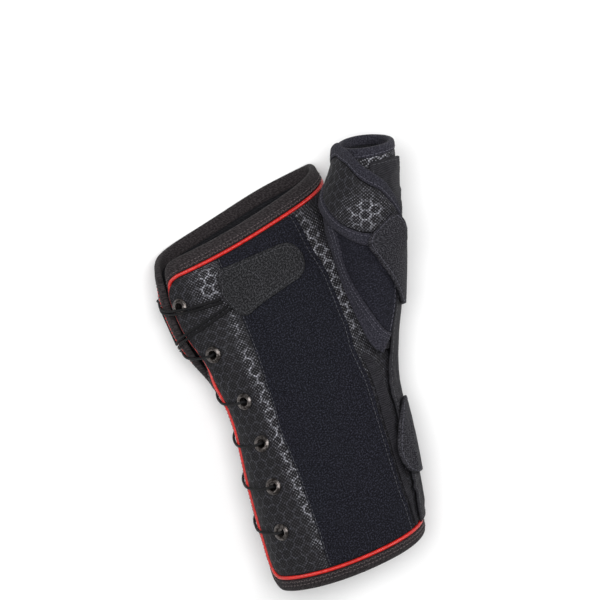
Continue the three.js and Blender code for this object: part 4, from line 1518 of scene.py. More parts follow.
@dataclass(frozen=True)
class LoopVelour:
    """Brushed loop cloth, matt, with a few lighter fibres."""

    name: str = "loop velour"
    base: Colour = (17, 17, 22)
    fibre: Colour = (47, 48, 58)
    rows: float = 0.0

    def build(self) -> Material:
        """Makes the material.

        Returns:
            The material.
        """
        g = Graph(self.name, Specular_IOR_Level=0.1)
        at = g.place()
        fine, coarse = g.noise(at, 2.1, 3.0), g.noise(at, 0.22, 3.0)
        speckle = g.rise(g.noise(at, 1.3, 2.0), 0.44, 0.68)
        cloth = g.blend(coarse, *shades(self.base, 8, 9))
        shade = speckle
        height = g.plus(fine, g.times(speckle, 0.6))
        if self.rows:
            row = g.wave(g.split(at)[1], self.rows)
            loop = g.rise(g.noise(at, 1.3, 2.0, (0.45, 1.0)), 0.42, 0.66)
            ridge = g.rise(g.times(row, loop), 0.2, 0.8)
            shade = g.plus(g.times(ridge, 0.45), g.times(speckle, 0.5))
            height = g.plus(g.times(ridge, 1.2), g.times(fine, 0.5))
        g.relief(height, 0.3)
        return g.finish(g.blend(shade, cloth, srgb(*self.fibre)), 0.95)


@dataclass(frozen=True)
class RibCloth:
    """Finely ribbed knit."""

    name: str = "ribbed cloth"
    base: Colour = (33, 32, 37)
    pitch: float = 1.1

    def build(self) -> Material:
        """Makes the material.

        Returns:
            The material.
        """
        g = Graph(self.name, Specular_IOR_Level=0.25)
        at = g.place()
        u, v = g.split(at)
        drift = g.times(g.noise(at, 0.12, 2.0), 2.5)
        rib = g.wave(g.plus(v, drift), self.pitch)
        knit = g.wave(g.plus(u, g.times(v, 0.5)), 0.7)
        thread = g.times(rib, g.scaled(knit, 0.45, 0.55))
        tone = g.rise(g.noise(at, 0.4, 4.0), 0.3, 0.75, -0.1, 0.25)
        shade = g.plus(g.times(thread, 0.7), tone)
        dark, light = shades(self.base, 17, 20)
        g.relief(thread, 0.22)
        return g.finish(g.blend(shade, dark, light), 0.72)


@dataclass(frozen=True)
class EdgeTape:
    """Folded binding tape, a close twill."""

    name: str = "edge tape"
    base: Colour = (38, 33, 35)
    pitch: float = 0.62

    def build(self) -> Material:
        """Makes the material.

        Returns:
            The material.
        """
        g = Graph(self.name, Specular_IOR_Level=0.2, Sheen_Weight=0.03, Sheen_Roughness=0.5)
        at = g.place()
        u, v = g.split(at)
        twill = g.wave(g.plus(u, v), self.pitch)
        pick = g.wave(g.math("SUBTRACT", v, g.times(u, 0.3)), 0.5)
        thread = g.times(twill, g.scaled(pick, 0.5, 0.5))
        fluff = g.rise(g.noise(at, 1.25, 2.0), 0.42, 0.64, 0.0, 0.6)
        tone = g.plus(g.times(thread, 0.35), fluff)
        dark, light = shades(self.base, 20, 31)
        g.relief(g.plus(thread, g.times(fluff, 0.6)), 0.16)
        return g.finish(g.blend(tone, dark, light), 0.82)


@dataclass(frozen=True)
class HookTape:
    """Moulded hook tape: a field of tiny stiff hooks."""

    name: str = "hook tape"
    base: Colour = (35, 34, 40)
    pitch: float = 1.25
    turn: float = 12.0

    def build(self) -> Material:
        """Makes the material.

        Returns:
            The material.
        """
        g = Graph(self.name, Specular_IOR_Level=0.2)
        at = g.turned(g.place(), self.turn)
        u, v = g.split(at)
        rows = g.times(g.wave(u, self.pitch), g.wave(v, self.pitch * 0.8))
        hook = g.rise(rows, 0.25, 0.75)
        speck = g.rise(g.noise(at, 1.2, 2.0), 0.43, 0.63)
        shade = g.plus(g.times(hook, 0.3), g.times(speck, 0.65))
        dark, light = shades(self.base, 19, 40)
        g.relief(g.plus(hook, g.times(speck, 0.7)), 0.2)
        return g.finish(g.blend(shade, dark, light), 0.8)


@dataclass(frozen=True)
class SatinPiping:
    """Red satin piping with its threads laid round the cord."""

    name: str = "red satin piping"
    dark: Colour = (126, 9, 9)
    light: Colour = (236, 44, 36)

    def build(self) -> Material:
        """Makes the material.

        Returns:
            The material.
        """
        g = Graph(self.name, Specular_IOR_Level=0.6)
        at = g.place()
        u, v = g.split(at)
        thread = g.wave(g.scaled(u, 0.55, v), 0.62)
        tone = g.rise(g.noise(at, 0.5, 3.0), 0.3, 0.7, -0.15, 0.25)
        g.relief(thread, 0.1)
        shade = g.plus(g.scaled(thread, 0.5, 0.3), tone)
        return g.finish(g.blend(shade, srgb(*self.dark), srgb(*self.light)), 0.3)


@dataclass(frozen=True)
class Gunmetal:
    """Dark plated metal, a little worn."""

    name: str = "gunmetal"
    base: Colour = (98, 93, 91)

    def build(self) -> Material:
        """Makes the material.

        Returns:
            The material.
        """
        g = Graph(self.name, Metallic=0.9)
        at = g.object_place()
        worn = g.rise(g.noise(at, 900.0, 4.0), 0.4, 0.7)
        g.relief(g.noise(at, 2600.0, 2.0), 0.02, 0.5)
        colour = g.blend(worn, *shades(self.base, 34, 18))
        return g.finish(colour, g.scaled(worn, 0.14, 0.28))


@dataclass(frozen=True)
class LaceBraid:
    """Black braided lace."""

    name: str = "lace braid"
    base: Colour = (15, 15, 17)

    def build(self) -> Material:
        """Makes the material.

        Returns:
            The material.
        """
        g = Graph(self.name, Specular_IOR_Level=0.22)
        at = g.place()
        u, v = g.split(at)
        left, right = g.wave(g.plus(u, v), 0.73), g.wave(g.math("SUBTRACT", v, u), 0.73)
        strand = g.math("MAXIMUM", left, right)
        tone = g.rise(g.noise(at, 1.3, 3.0), 0.45, 0.8, 0.0, 0.5)
        shade = g.plus(g.times(strand, 0.5), tone)
        g.relief(strand, 0.12)
        dark, light = shades(self.base, 14, 14)
        return g.finish(g.blend(shade, dark, light), 0.62)


@dataclass(frozen=True)
class Thread:
    """Sewing thread, twisted."""

    name: str = "thread"
    base: Colour = (70, 62, 66)

    def build(self) -> Material:
        """Makes the material.

        Returns:
            The material.
        """
        g = Graph(self.name, Specular_IOR_Level=0.35)
        at = g.object_place()
        tone = g.rise(g.noise(at, 2200.0, 2.0), 0.3, 0.7)
        dark, light = shades(self.base, 18, 22)
        return g.finish(g.blend(tone, dark, light), 0.55)


@dataclass(frozen=True)
class Lining:
    """Soft black knit on the inside of the padding."""

    name: str = "lining"
    base: Colour = (34, 34, 38)

    def build(self) -> Material:
        """Makes the material.

        Returns:
            The material.
        """
        g = Graph(self.name, Specular_IOR_Level=0.15)
        at = g.place()
        u, v = g.split(at)
        mesh = g.times(g.wave(u, 1.4), g.wave(g.scaled(u, 0.5, v), 1.4))
        g.relief(mesh, 0.2)
        tone = g.plus(g.times(mesh, 0.5), g.rise(g.noise(at, 0.8, 3.0), 0.4, 0.7, 0.0, 0.4))
        return g.finish(g.blend(tone, srgb(18, 18, 21), srgb(*[c + 14 for c in self.base])), 0.9)


@dataclass(frozen=True)
class PaleFloor:
    """A plain pale studio floor."""

    name: str = "pale floor"

    def build(self) -> Material:
        """Makes the material.

        Returns:
            The material.
        """
        g = Graph(self.name, Specular_IOR_Level=0.1)
        at = g.object_place()
        tone = g.noise(at, 3.0, 1.0)
        return g.finish(g.blend(tone, (0.93, 0.93, 0.93, 1.0), (0.95, 0.95, 0.95, 1.0)), 0.9)


@dataclass
class Finishes:
    """All of the splint's finishes."""

    print: Material = field(default_factory=PrintCloth(turn=4.0).build)
    strap: Material = field(default_factory=PrintCloth("strap print", turn=20.0).build)
    velour: Material = field(default_factory=LoopVelour().build)
    flap: Material = field(default_factory=LoopVelour("flap loops", (22, 22, 28), (62, 62, 74), 1.25).build)
    rib: Material = field(default_factory=RibCloth().build)
    edge: Material = field(default_factory=EdgeTape().build)
    thumb: Material = field(default_factory=EdgeTape("thumb tape", (38, 37, 47)).build)
    hook: Material = field(default_factory=HookTape().build)
    pull: Material = field(default_factory=HookTape("pull tab cloth", (31, 31, 34), 0.9).build)
    piping: Material = field(default_factory=SatinPiping().build)
    metal: Material = field(default_factory=Gunmetal().build)
    lace: Material = field(default_factory=LaceBraid().build)
    lining: Material = field(default_factory=Lining().build)
    brown: Material = field(default_factory=Thread("brown thread", (84, 75, 76)).build)
    grey: Material = field(default_factory=Thread("grey thread", (80, 79, 90)).build)
    black: Material = field(default_factory=Thread("black thread", (66, 66, 71)).build)


def dress(thing: Thing, materials: Sequence[Material],
          nodes: Sequence[str] = ()) -> Thing:
    """Gives a piece its finish and its place in the frame.

    Args:
        thing: The piece.
        materials: Its outer finish and, for a cloth wall, its inner one.
        nodes: The nodes that it stands for.

    Returns:
        The piece.
    """
    for material in materials:
        thing.data.materials.append(material)
    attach(thing, "root")
    if nodes:
        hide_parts(*nodes)
    LOG.info("%s: %d faces", thing.name, len(thing.data.polygons))
    return thing


def declare_sheet(cloth: Cloth, rests_on: Sequence[str]) -> None:
    """Logs a sheet's name and the size that it was cut to.

    Args:
        cloth: The sheet.
        rests_on: What it lies on; not used.
    """
    width, length = float(cloth.across[:, -1].max()) * MM, float(cloth.along[-1].max()) * MM
    side, run = np.diff(cloth.outer, axis=1)[:-1], np.diff(cloth.outer, axis=0)[:, :-1]
    LOG.info("%s: cut %.0f by %.0f mm", cloth.thing.name, width / MM, length / MM)
    list(rests_on)


@dataclass
class SubAssembly:
    """What each part of the splint is built on: its forms, the sleeve's lines and the finishes."""

    forms: Forms
    lines: SleeveLines
    finishes: Finishes


@dataclass
class SleevePanels(SubAssembly):
    """The padded sleeve: its two panels with their pipings and bindings."""

    eyelets: "Eyelets"
    step: float = 1.25
    seam_hold: float = 0.93
    seam_reach: tuple[float, float] = (8.0, 40.0)
    hole: float = 3.0
    flange_under: float = 0.7
    flange_over: float = 0.6
    flange_inner: float = -2.8
    flange_outer: float = -1.35
    drape: Drape = field(default_factory=Drape)

    def settle(self) -> None:
        """Lets the sleeve's cover settle on its padding, held along its seams and at its eyelets."""
        shares = np.linspace(self.lines.start + 0.01, self.lines.end - 0.01, 66)
        angles = np.linspace(-64, 238, 92)
        share, angle = np.meshgrid(shares, angles, indexing="ij")
        grid = self.forms.shell.sleeve(share, angle, 0.0)
        from_end = np.minimum(share - shares[0], shares[-1] - share) * self.lines.run
        from_line = np.minimum(angle - angles[0], angles[-1] - angle)
        held = np.maximum(1 - smooth(from_end, 1, 12), 1 - smooth(from_line, 2, 12))
        seam = 1 - smooth(np.abs(angle - self.lines.seam_angle), *self.seam_reach)
        held = np.maximum(held, self.seam_hold * seam)
        for seat in self.eyelets.seats():
            held = np.maximum(held, 1 - smooth(np.linalg.norm(grid - seat.middle, axis=-1), 5, 10))
        out = self.drape.waves("sleeve_cover", grid, held, closed=False)
        self.forms.shell.waves = Waves(shares, angles, out)

    def panel(self, side: Side) -> None:
        """Builds one panel, open for the thumb sleeve and the eyelets.

        Args:
            side: The half of the sleeve.
        """
        shell, lines, trim = self.forms.shell, self.lines, self.lines.trim
        seats = [seat for seat in self.eyelets.seats() if seat.side is side]

        def surface(share: Array, t: Array, out: Array) -> Array:
            """The sleeve between the laced line and the seam."""
            return shell.sleeve(share, lerp(lines.laced(side, share), lines.seam(side), t), out)

        def relief(u: Array, v: Array, edge: Array, base: Array) -> Array:
            """A soft unevenness, pressed in round the eyelets and along the seams."""
            soft = 0.16 * value_noise(u, v, 9, 5) + 0.22 * value_noise(u, v, 23, 6)
            press = sum(1 - smooth(np.linalg.norm(base - seat.middle, axis=-1), 3.8, 6.4) for seat in seats)
            return soft * smooth(edge, 2, 7) - 0.3 * press - 0.25 * hump(edge, 2.1, 0.7)

        cuts = [RoundCut(seat.middle, seat.out, self.hole) for seat in seats]
        thumb = self.forms.thumb
        cuts.append(ThumbCut(thumb, trim.wall, thumb.root_share * thumb.length))
        maker = ClothMaker(Rounding(1.5, 1.5, 1.5, 0.6), relief=relief, cuts=cuts)
        girth = 125 if side is Side.PALMAR else 150
        name = side.name.lower()
        cloth = maker.build(f"{name}_panel_cloth", lines.shares(self.step), graded(girth, self.step), surface,
                            -trim.wall, 0.0)
        dress(cloth.thing, [self.finishes.print, self.finishes.lining], [f"{name}_panel"])

    def binding(self, side: Side) -> None:
        """Builds the tape folded over one panel's free edge, and its stitches.

        Args:
            side: The half of the sleeve.
        """
        shell, trim, edge = self.forms.shell, self.lines.trim, self.lines.free_edge(side)
        roll = self.lines.roll(edge, side)
        near = self.lines.moved_out(edge, trim.seam, side)
        reach = trim.seam + self.lines.binding_width(edge) * (1 - trim.roll_share * roll)
        far = self.lines.moved_out(edge, reach, side)
        fold = SewnFold(width=0.9, depth=0.34, pucker=0.14, beside=2.6, spread=1.6)

        def surface(at: Array, t: Array, out: Array) -> Array:
            """The band between the two edges, rolled in near its upper end."""
            tucked = roll[at.astype(int)] * (trim.tuck_share * trim.roll_tuck + trim.roll_depth * t)
            return shell.sleeve(*near.between(far, at, t), out - tucked)

        def relief(u: Array, v: Array, _edge: Array, _base: Array) -> Array:
            """The sewn fold and a soft unevenness."""
            drift = 1.5 * value_noise(u, v, 5, 8)
            return fold.relief(u - u[:, :1], v, drift) + 0.16 * value_noise(u, v, 6, 9)

        maker = ClothMaker(Rounding(0.3, 0.3, 0.9, 1.8), relief=relief)
        name = side.name.lower()
        rows = np.arange(len(edge.share), dtype=float)
        cloth = maker.build(f"{name}_binding_tape", rows, graded(7.0, 0.7, TAPE_LEAD), surface,
                            -trim.wall, trim.rise)
        dress(cloth.thing, [self.finishes.edge, self.finishes.edge], [f"{name}_binding"])
        self.sew_binding(cloth, name)

    def sew_binding(self, cloth: Cloth, name: str) -> None:
        """Sews the tape: with two close rows across the ends and one row down the laced edge.

        Args:
            cloth: The tape.
            name: The half's name.
        """
        path, second = cloth.seam(Border.FIRST, 1.1), cloth.seam(Border.FIRST, 2.9)
        first, last = self.lines.upper_steps - 1, len(path.points) - self.lines.lower_steps
        slanted, straight = Stitch(1.5, 1.2, 0.9, 0.46, 0.2), Stitch(2.1, 1.5, 0.0, 0.42, 0.16)
        parts = [(slanted, path, slice(4, first)), (straight, second, slice(4, first)),
                 (straight, path, slice(first, last)),
                 (slanted, path, slice(last, -4)), (straight, second, slice(last, -4))]
        runs = [(stitch, Path(line.points[part], line.normals[part])) for stitch, line, part in parts]
        dress(sew(f"{name}_binding_stitches", runs), [self.finishes.brown])

    def piping(self, side: Side) -> None:
        """Builds the red piping beside one panel's free edge, kept just above the floor.

        Args:
            side: The half of the sleeve.
        """
        radius = self.lines.trim.piping / 2
        edge = self.lines.free_edge(side)
        moved = self.lines.moved_out(edge, self.lines.trim.gap + radius, side)
        tuck = self.lines.trim.roll_tuck * self.lines.roll(edge, side)
        line = self.forms.shell.sleeve(moved.share, moved.angle, -radius / 4 - tuck)
        line[:, 2] = np.maximum(line[:, 2], radius + self.lines.trim.gap)
        name = side.name.lower()
        cord = tube(f"{name}_piping_cord", spline(line[::2], 0.7), radius, 12)
        dress(cord, [self.finishes.piping], [f"{name}_piping"])
        self.flange(side, edge, tuck)

    def flange(self, side: Side, edge: Edge, tuck: Array) -> None:
        """Builds the piping's own strip, sewn in between the panel and the binding.

        Args:
            side: The half of the sleeve.
            edge: The panel's free edge.
            tuck: How far in it is tucked.
        """
        trim = self.lines.trim
        reach = (-self.flange_under, trim.seam + self.flange_over)
        near, far = (self.lines.moved_out(edge, distance, side) for distance in reach)

        def surface(at: Array, t: Array, out: Array) -> Array:
            """The strip between its two edges, tucked in where the edge rolls."""
            tucked = trim.tuck_share * tuck[at.astype(int)]
            return self.forms.shell.sleeve(*near.between(far, at, t), out - tucked)

        rows = np.arange(len(edge.share), dtype=float)
        cloth = ClothMaker(Rounding(0.1, 0.1, 0.2, 0.2)).build(
            f"{side.name.lower()}_piping_flange", rows, np.linspace(0, 1, 6), surface, self.flange_inner,
            self.flange_outer)
        dress(cloth.thing, [self.finishes.lining] * 2)

    def build(self) -> None:
        """Builds both halves."""
        for side in Side:
            self.panel(side)
            self.binding(side)
            self.piping(side)


@dataclass
class PalmPatches(SubAssembly):
    """What is sewn flat on the palm: the loop panel and the ribbed strip beside it."""

    loop_thickness: float = 1.4
    rib_thickness: float = 0.8
    rib_pitch: float = 1.1

    def patch(self, name: str, rows: Table, shares: Array, columns: Array, thickness: float,
              relief: Relief) -> Cloth:
        """Builds one patch between two edges of a table.

        Args:
            name: The piece's name.
            rows: Its table.
            shares: The measure of each row.
            columns: Shares across it.
            thickness: Its thickness.
            relief: Its relief.

        Returns:
            The patch.
        """
        shell, gap = self.forms.shell, self.lines.trim.gap
        plain = self.lines.shell

        def surface(share: Array, t: Array, out: Array) -> Array:
            """The shell between the patch's two edges."""
            low, high = (plain.angle_across(share, side * shell.width) for side in read_table(rows, share))
            return shell.sleeve(share, lerp(low, high, t), out)

        maker = ClothMaker(Rounding(0.8, 0.8, 0.8, 0.8), relief=relief)
        return maker.build(name, shares, columns, surface, gap, gap + thickness)

    def build(self) -> None:
        """Builds both patches and the loop panel's seams."""
        start = self.lines.start + self.lines.trim.gap / self.lines.run
        end = self.lines.end - self.lines.trim.gap / self.lines.run
        length = (end - start) * self.lines.run

        def loop_relief(u: Array, v: Array, _edge: Array, _base: Array) -> Array:
            """The brushed pile, with the dent of its seam on the thumb side."""
            pile = 0.07 * value_noise(u, v, 1.9, 11) + 0.16 * value_noise(u, v, 12, 12)
            return pile - 0.38 * hump(u[:, -1:] - u, 2.4, 0.7)

        def rib_relief(_u: Array, v: Array, _edge: Array, _base: Array) -> Array:
            """The ribs."""
            return 0.16 * np.sin(2 * np.pi * v / self.rib_pitch)

        loop = self.patch("palmar_loop_panel_cloth", LOOP_PANEL, lerp(start, end, graded(length, 1.15)),
                          graded(50, 1.15), self.loop_thickness, loop_relief)
        dress(loop.thing, [self.finishes.velour, self.finishes.lining], ["palmar_loop_panel"])
        rib_end = RIB_PANEL[-1][0]
        shares = lerp(start, rib_end, graded((rib_end - start) * self.lines.run, 0.27))
        columns = graded(5, 0.6)
        rib = self.patch("radial_rib_panel_cloth", RIB_PANEL, shares, columns, self.rib_thickness, rib_relief)
        dress(rib.thing, [self.finishes.rib, self.finishes.lining], ["radial_rib_panel"])
        sewn = Stitch(2.5, 2.0, 0.0, 0.36, 0.1)
        runs = [(sewn, loop.seam(Border.LAST, 2.4)), (sewn, loop.seam(Border.FIRST, 1.0))]
        stitches = dress(sew("palmar_loop_panel_stitches", runs), [self.finishes.black])
        declare_sheet(loop, ["palmar_panel_cloth"])


@dataclass
class ThumbPost(SubAssembly):
    """The padded thumb sleeve and the tape round its rim."""

    drape: Drape = field(default_factory=lambda: Drape(fullness=0.03, cap=0.7, seed=7))

    def settle(self) -> None:
        """Lets the thumb sleeve's cover settle, held at its rim and where it leaves the shell."""
        shares, angles = np.linspace(0.5, 0.95, 26), np.linspace(0, 360, 49)
        share, angle = np.meshgrid(shares, angles[:-1], indexing="ij")
        grid = self.forms.thumb.at(share * self.forms.thumb.length, angle, 0.0)
        held = 1 - smooth(np.minimum(share - shares[0], shares[-1] - share), 0.01, 0.08)
        out = self.drape.waves("thumb_cover", grid, held, closed=True)
        self.forms.thumb.waves = Waves(shares, angles, np.concatenate([out, out[:, :1]], axis=1))

    def root(self, angles: Array, out: float) -> Array:
        """Where the thumb sleeve's surface leaves the shell's, at each angle.

        Args:
            angles: Degrees round the thumb sleeve.
            out: Millimetres out.

        Returns:
            Distances from the waist.
        """
        thumb, shell, gap = self.forms.thumb, self.lines.shell, self.lines.trim.gap
        along = np.arange(thumb.root_share * thumb.length, thumb.length - 14, 0.5)
        y, angle = np.meshgrid(along, angles, indexing="ij")
        point = ThumbSleeveForm().at(y, angle, out)
        centre, half, crown, top = shell.section(y)
        rise = point[..., 2] - crown
        px, pz = (point[..., 0] - centre) / (half + gap), rise / (np.where(rise > 0, top, crown) + gap)
        turn = np.arctan2(px, pz)
        n = lerp(shell.back_roundness, shell.palm_roundness, smooth(np.cos(turn), -0.3, 0.3))
        inside = np.abs(px) ** n + np.abs(pz) ** n < 1
        last = np.where(inside.any(axis=0), len(along) - 1 - np.argmax(inside[::-1], axis=0), 0)
        found = along[last]
        around = np.concatenate([found[-3:], found, found[:3]])
        return np.convolve(around, np.array([1, 2, 3, 4, 3, 2, 1]) / 16, mode="valid")

    def build(self) -> None:
        """Builds the tube and its binding."""
        thumb, trim = self.forms.thumb, self.lines.trim
        angles = np.arange(0, 360, 2.0)
        roots = [self.root(angles, out) for out in (-trim.wall, 0.0)]
        fold = SewnFold(row=1.4, depth=0.28, pucker=0.1, pitch=2.4, beside=2.4, spread=1.4)

        def tube_surface(share: Array, t: Array, out: Array) -> Array:
            """The thumb sleeve's surface from the shell to its binding.

            Args:
                share: Shares along the tube.
                t: Shares round it.
                out: Millimetres out.

            Returns:
                The points.
            """
            angle = t * 360 + 90
            inner, outer = (np.interp(angle, angles, root, period=360) for root in roots)
            start = lerp(inner, outer, np.clip(1 + out / trim.wall, 0, 1))
            return thumb.at(lerp(start, thumb.rim(angle) - trim.thumb_binding + 0.5, share), angle, out)

        def rim_surface(share: Array, t: Array, out: Array) -> Array:
            """The thumb sleeve's surface under its binding."""
            angle = t * 360 + 90
            return thumb.at(thumb.rim(angle) - trim.thumb_binding * (1 - share), angle, out)

        def soft(u: Array, v: Array, edge: Array, _base: Array) -> Array:
            """A soft unevenness."""
            return 0.12 * value_noise(u, v, 8, 15) * smooth(edge, 1, 5)

        def folded(u: Array, v: Array, _edge: Array, _base: Array) -> Array:
            """The sewn fold round the rim."""
            return fold.relief(v - v[:1], u)

        sleeve = ClothMaker(Rounding(1.0, 1.0), wraps=True, relief=soft).build(
            "thumb_sleeve_cloth", graded(70, 1.2), np.linspace(0, 1, 97), tube_surface, -trim.wall, 0.0)
        dress(sleeve.thing, [self.finishes.print, self.finishes.lining], ["thumb_sleeve"])
        rim = ClothMaker(Rounding(0.9, 1.8), wraps=True, relief=folded).build(
            "thumb_sleeve_tape", graded(5.5, 0.6, TAPE_LEAD), np.linspace(0, 1, 121), rim_surface,
            -trim.wall, trim.rise)
        dress(rim.thing, [self.finishes.thumb, self.finishes.thumb], ["thumb_sleeve_binding"])
        runs = [(Stitch(2.3, 1.8, 0.0, 0.34, 0.1), rim.seam(Border.START, fold.row))]
        stitches = sew("thumb_sleeve_stitches", runs)
        dress(stitches, [self.finishes.grey])


@dataclass
class StayCover(SubAssembly):
    """The smooth cover down the thumb side, with a flat stay inside."""

    seat: float = 0.7
    thickness: float = 1.5
    short: float = 4.0
    blend: tuple[float, float] = (6.0, 26.0)
    stay_width: float = 15.0
    stay_rise: float = 0.7
    seam: float = 1.8

    def surface(self, share: Array, t: Array, out: Array) -> Array:
        """Points that pass from the shell to the thumb sleeve.

        Args:
            share: Shares along it.
            t: Shares across it.
            out: Millimetres out.

        Returns:
            The points.
        """
        shell, thumb, trim = self.forms.shell, self.forms.thumb, self.lines.trim
        start = float(shell.proximal_end(90.0)) + trim.proximal_binding + trim.seam + trim.gap
        end = float(thumb.rim(90.0)) - trim.thumb_binding - 2 * trim.gap - self.short
        middle = lerp(start, end, share)
        shell_from, shell_to, thumb_from, thumb_to = read_table(STAY_COVER, middle / thumb.length)
        angle = lerp(shell_from, shell_to, t)
        y = middle + (1 - share) ** 4 * (shell.proximal_end(angle) - shell.proximal_end(90.0))
        on_shell, on_thumb = shell.at(y, angle, out), thumb.at(y, lerp(thumb_from, thumb_to, t), out)
        return lerp(on_shell, on_thumb, smooth(y, *self.blend)[..., None])

    def relief(self, u: Array, v: Array, edge: Array, _base: Array) -> Array:
        """The stay's long bulge, a soft unevenness and the dents of its seams."""
        stay = self.stay_rise * (1 - smooth(np.abs(u), self.stay_width / 2 - 2, self.stay_width / 2 + 1.5))
        soft = 0.1 * value_noise(u, v, 7, 21) + 0.14 * value_noise(u, v, 19, 22)
        return stay * smooth(edge, 3, 8) + soft * smooth(edge, 1, 4) - 0.3 * hump(edge, self.seam, 0.7)

    def build(self) -> None:
        """Builds the cover and its seams."""
        maker = ClothMaker(Rounding(1.0, 1.0, 1.0, 1.0), relief=self.relief)
        rows, columns = graded(200, 1.0), graded(34, 0.9)
        cloth = maker.build("radial_stay_cover_cloth", rows, columns, self.surface, self.seat,
                            self.seat + self.thickness)
        dress(cloth.thing, [self.finishes.rib, self.finishes.lining], ["radial_stay_cover"])
        runs = [(Stitch(2.4, 1.9, 0.0, 0.34), path) for path in cloth.rim(self.seam)]
        stitches = sew("radial_stay_cover_stitches", runs)
        dress(stitches, [self.finishes.black])


@dataclass
class ThenarFlap(SubAssembly):
    """The loop-faced flap at the foot of the thumb sleeve, with its bound free edge."""

    seat: float = 0.5
    thickness: float = 2.0
    turn: float = 8.0
    tape: float = 10.2
    fold: SewnFold = SewnFold(row=1.6, depth=0.34, pucker=0.13, pitch=2.2, beside=2.8, spread=1.6)

    def degrees(self, y: Array, angle: Array, width: float) -> Array:
        """The degrees that a width covers on the thumb sleeve at a place."""
        thumb = ThumbSleeveForm()
        ahead, behind = thumb.at(y, angle + 1, self.thickness), thumb.at(y, angle - 1, self.thickness)
        return 2 * width / np.linalg.norm(ahead - behind, axis=-1)

    def free(self, y: Array) -> Array:
        """The angle of the free edge."""
        return read_table(FLAP_EDGE, y / self.forms.thumb.length)[0]

    def outline(self, inset: float) -> Line:
        """The free edge moved in, square to its own direction: distances and angles.

        Args:
            inset: Millimetres in.

        Returns:
            Distances from the waist, and angles.
        """
        start, end = FLAP_EDGE[0][0] * self.forms.thumb.length, FLAP_EDGE[-1][0] * self.forms.thumb.length
        turned = start + self.turn
        y = np.concatenate([np.linspace(start, turned, 22), np.linspace(turned, end, 92)[1:]])
        before, after = np.maximum(y - 1, start), y + 1
        degree = 1 / self.degrees(y, self.free(y), 1.0)
        run = unit(np.stack([(self.free(after) - self.free(before)) * degree, after - before], axis=-1))
        return y - run[:, 0] * inset, self.free(y) + run[:, 1] * inset / degree

    def band(self, name: str, edges: Sequence[Line], columns: Array, rise: float, maker: ClothMaker) -> Cloth:
        """Builds a band of the flap between two lines of places.

        Args:
            name: The piece's name.
            edges: The two lines.
            columns: Shares across it.
            rise: How much thicker it is than the cloth.
            maker: What makes it, with its rounding and relief.

        Returns:
            The band.
        """
        (near_y, near_angle), (far_y, far_angle) = edges

        def surface(at: Array, t: Array, out: Array) -> Array:
            """The foot of the thumb sleeve between the two lines."""
            i = at.astype(int)
            return self.forms.ball(lerp(near_y[i], far_y[i], t), lerp(near_angle[i], far_angle[i], t), out)

        rows = np.arange(len(near_y), dtype=float)
        return maker.build(name, rows, columns, surface, self.seat, self.seat + self.thickness + rise)

    def loops(self, u: Array, v: Array, edge: Array, _base: Array) -> Array:
        """Short rows of loops and a soft unevenness."""
        rows = 0.1 * np.sin(2 * np.pi * v / 1.25) * (0.6 + 0.4 * value_noise(u, v, 2.2, 31))
        return rows * smooth(edge, 0.5, 2) + 0.2 * value_noise(u, v, 11, 32)

    def folded(self, u: Array, v: Array, _edge: Array, _base: Array) -> Array:
        """The dent of the seam and the puckers beside it."""
        return self.fold.relief(u[:, -1:] - u, v, value_noise(u, v, 4, 33))

    def build(self) -> None:
        """Builds the flap, its binding and its stitches."""
        trim = self.lines.trim
        y, angle = self.outline(self.tape)
        cover = read_table(STAY_COVER, y / self.forms.thumb.length)[2]
        inner = np.maximum(cover - self.degrees(y, 45.0, 3 * trim.gap), angle + 2)
        flap = self.band("thenar_flap_cloth", ((y, angle), (y, inner)), graded(40, 0.8), 0.0,
                         ClothMaker(Rounding(0.9, 0.9, 0.5, 0.9), relief=self.loops))
        dress(flap.thing, [self.finishes.flap, self.finishes.lining], ["thenar_flap"])
        tape = self.band("thenar_flap_tape", (self.outline(0.0), self.outline(self.tape)),
                         graded(self.tape, 0.6, TAPE_LEAD), trim.rise,
                         ClothMaker(Rounding(0.9, 0.9, 1.4, 0.8), relief=self.folded))
        dress(tape.thing, [self.finishes.thumb, self.finishes.thumb], ["thenar_flap_binding"])
        rows = [(Stitch(2.1, 1.6, 0.0, 0.34, 0.12), tape.seam(Border.LAST, self.fold.row)),
                (Stitch(1.6, 1.0, 0.0, 0.34, 0.1), tape.seam(Border.LAST, 3.6)),
                (Stitch(2.6, 2.1, 0.0, 0.34), flap.seam(Border.LAST, 2.0))]
        stitches = dress(sew("thenar_flap_stitches", rows), [self.finishes.grey])
        declare_sheet(flap, ["thumb_sleeve_cloth", "palmar_panel_cloth"])


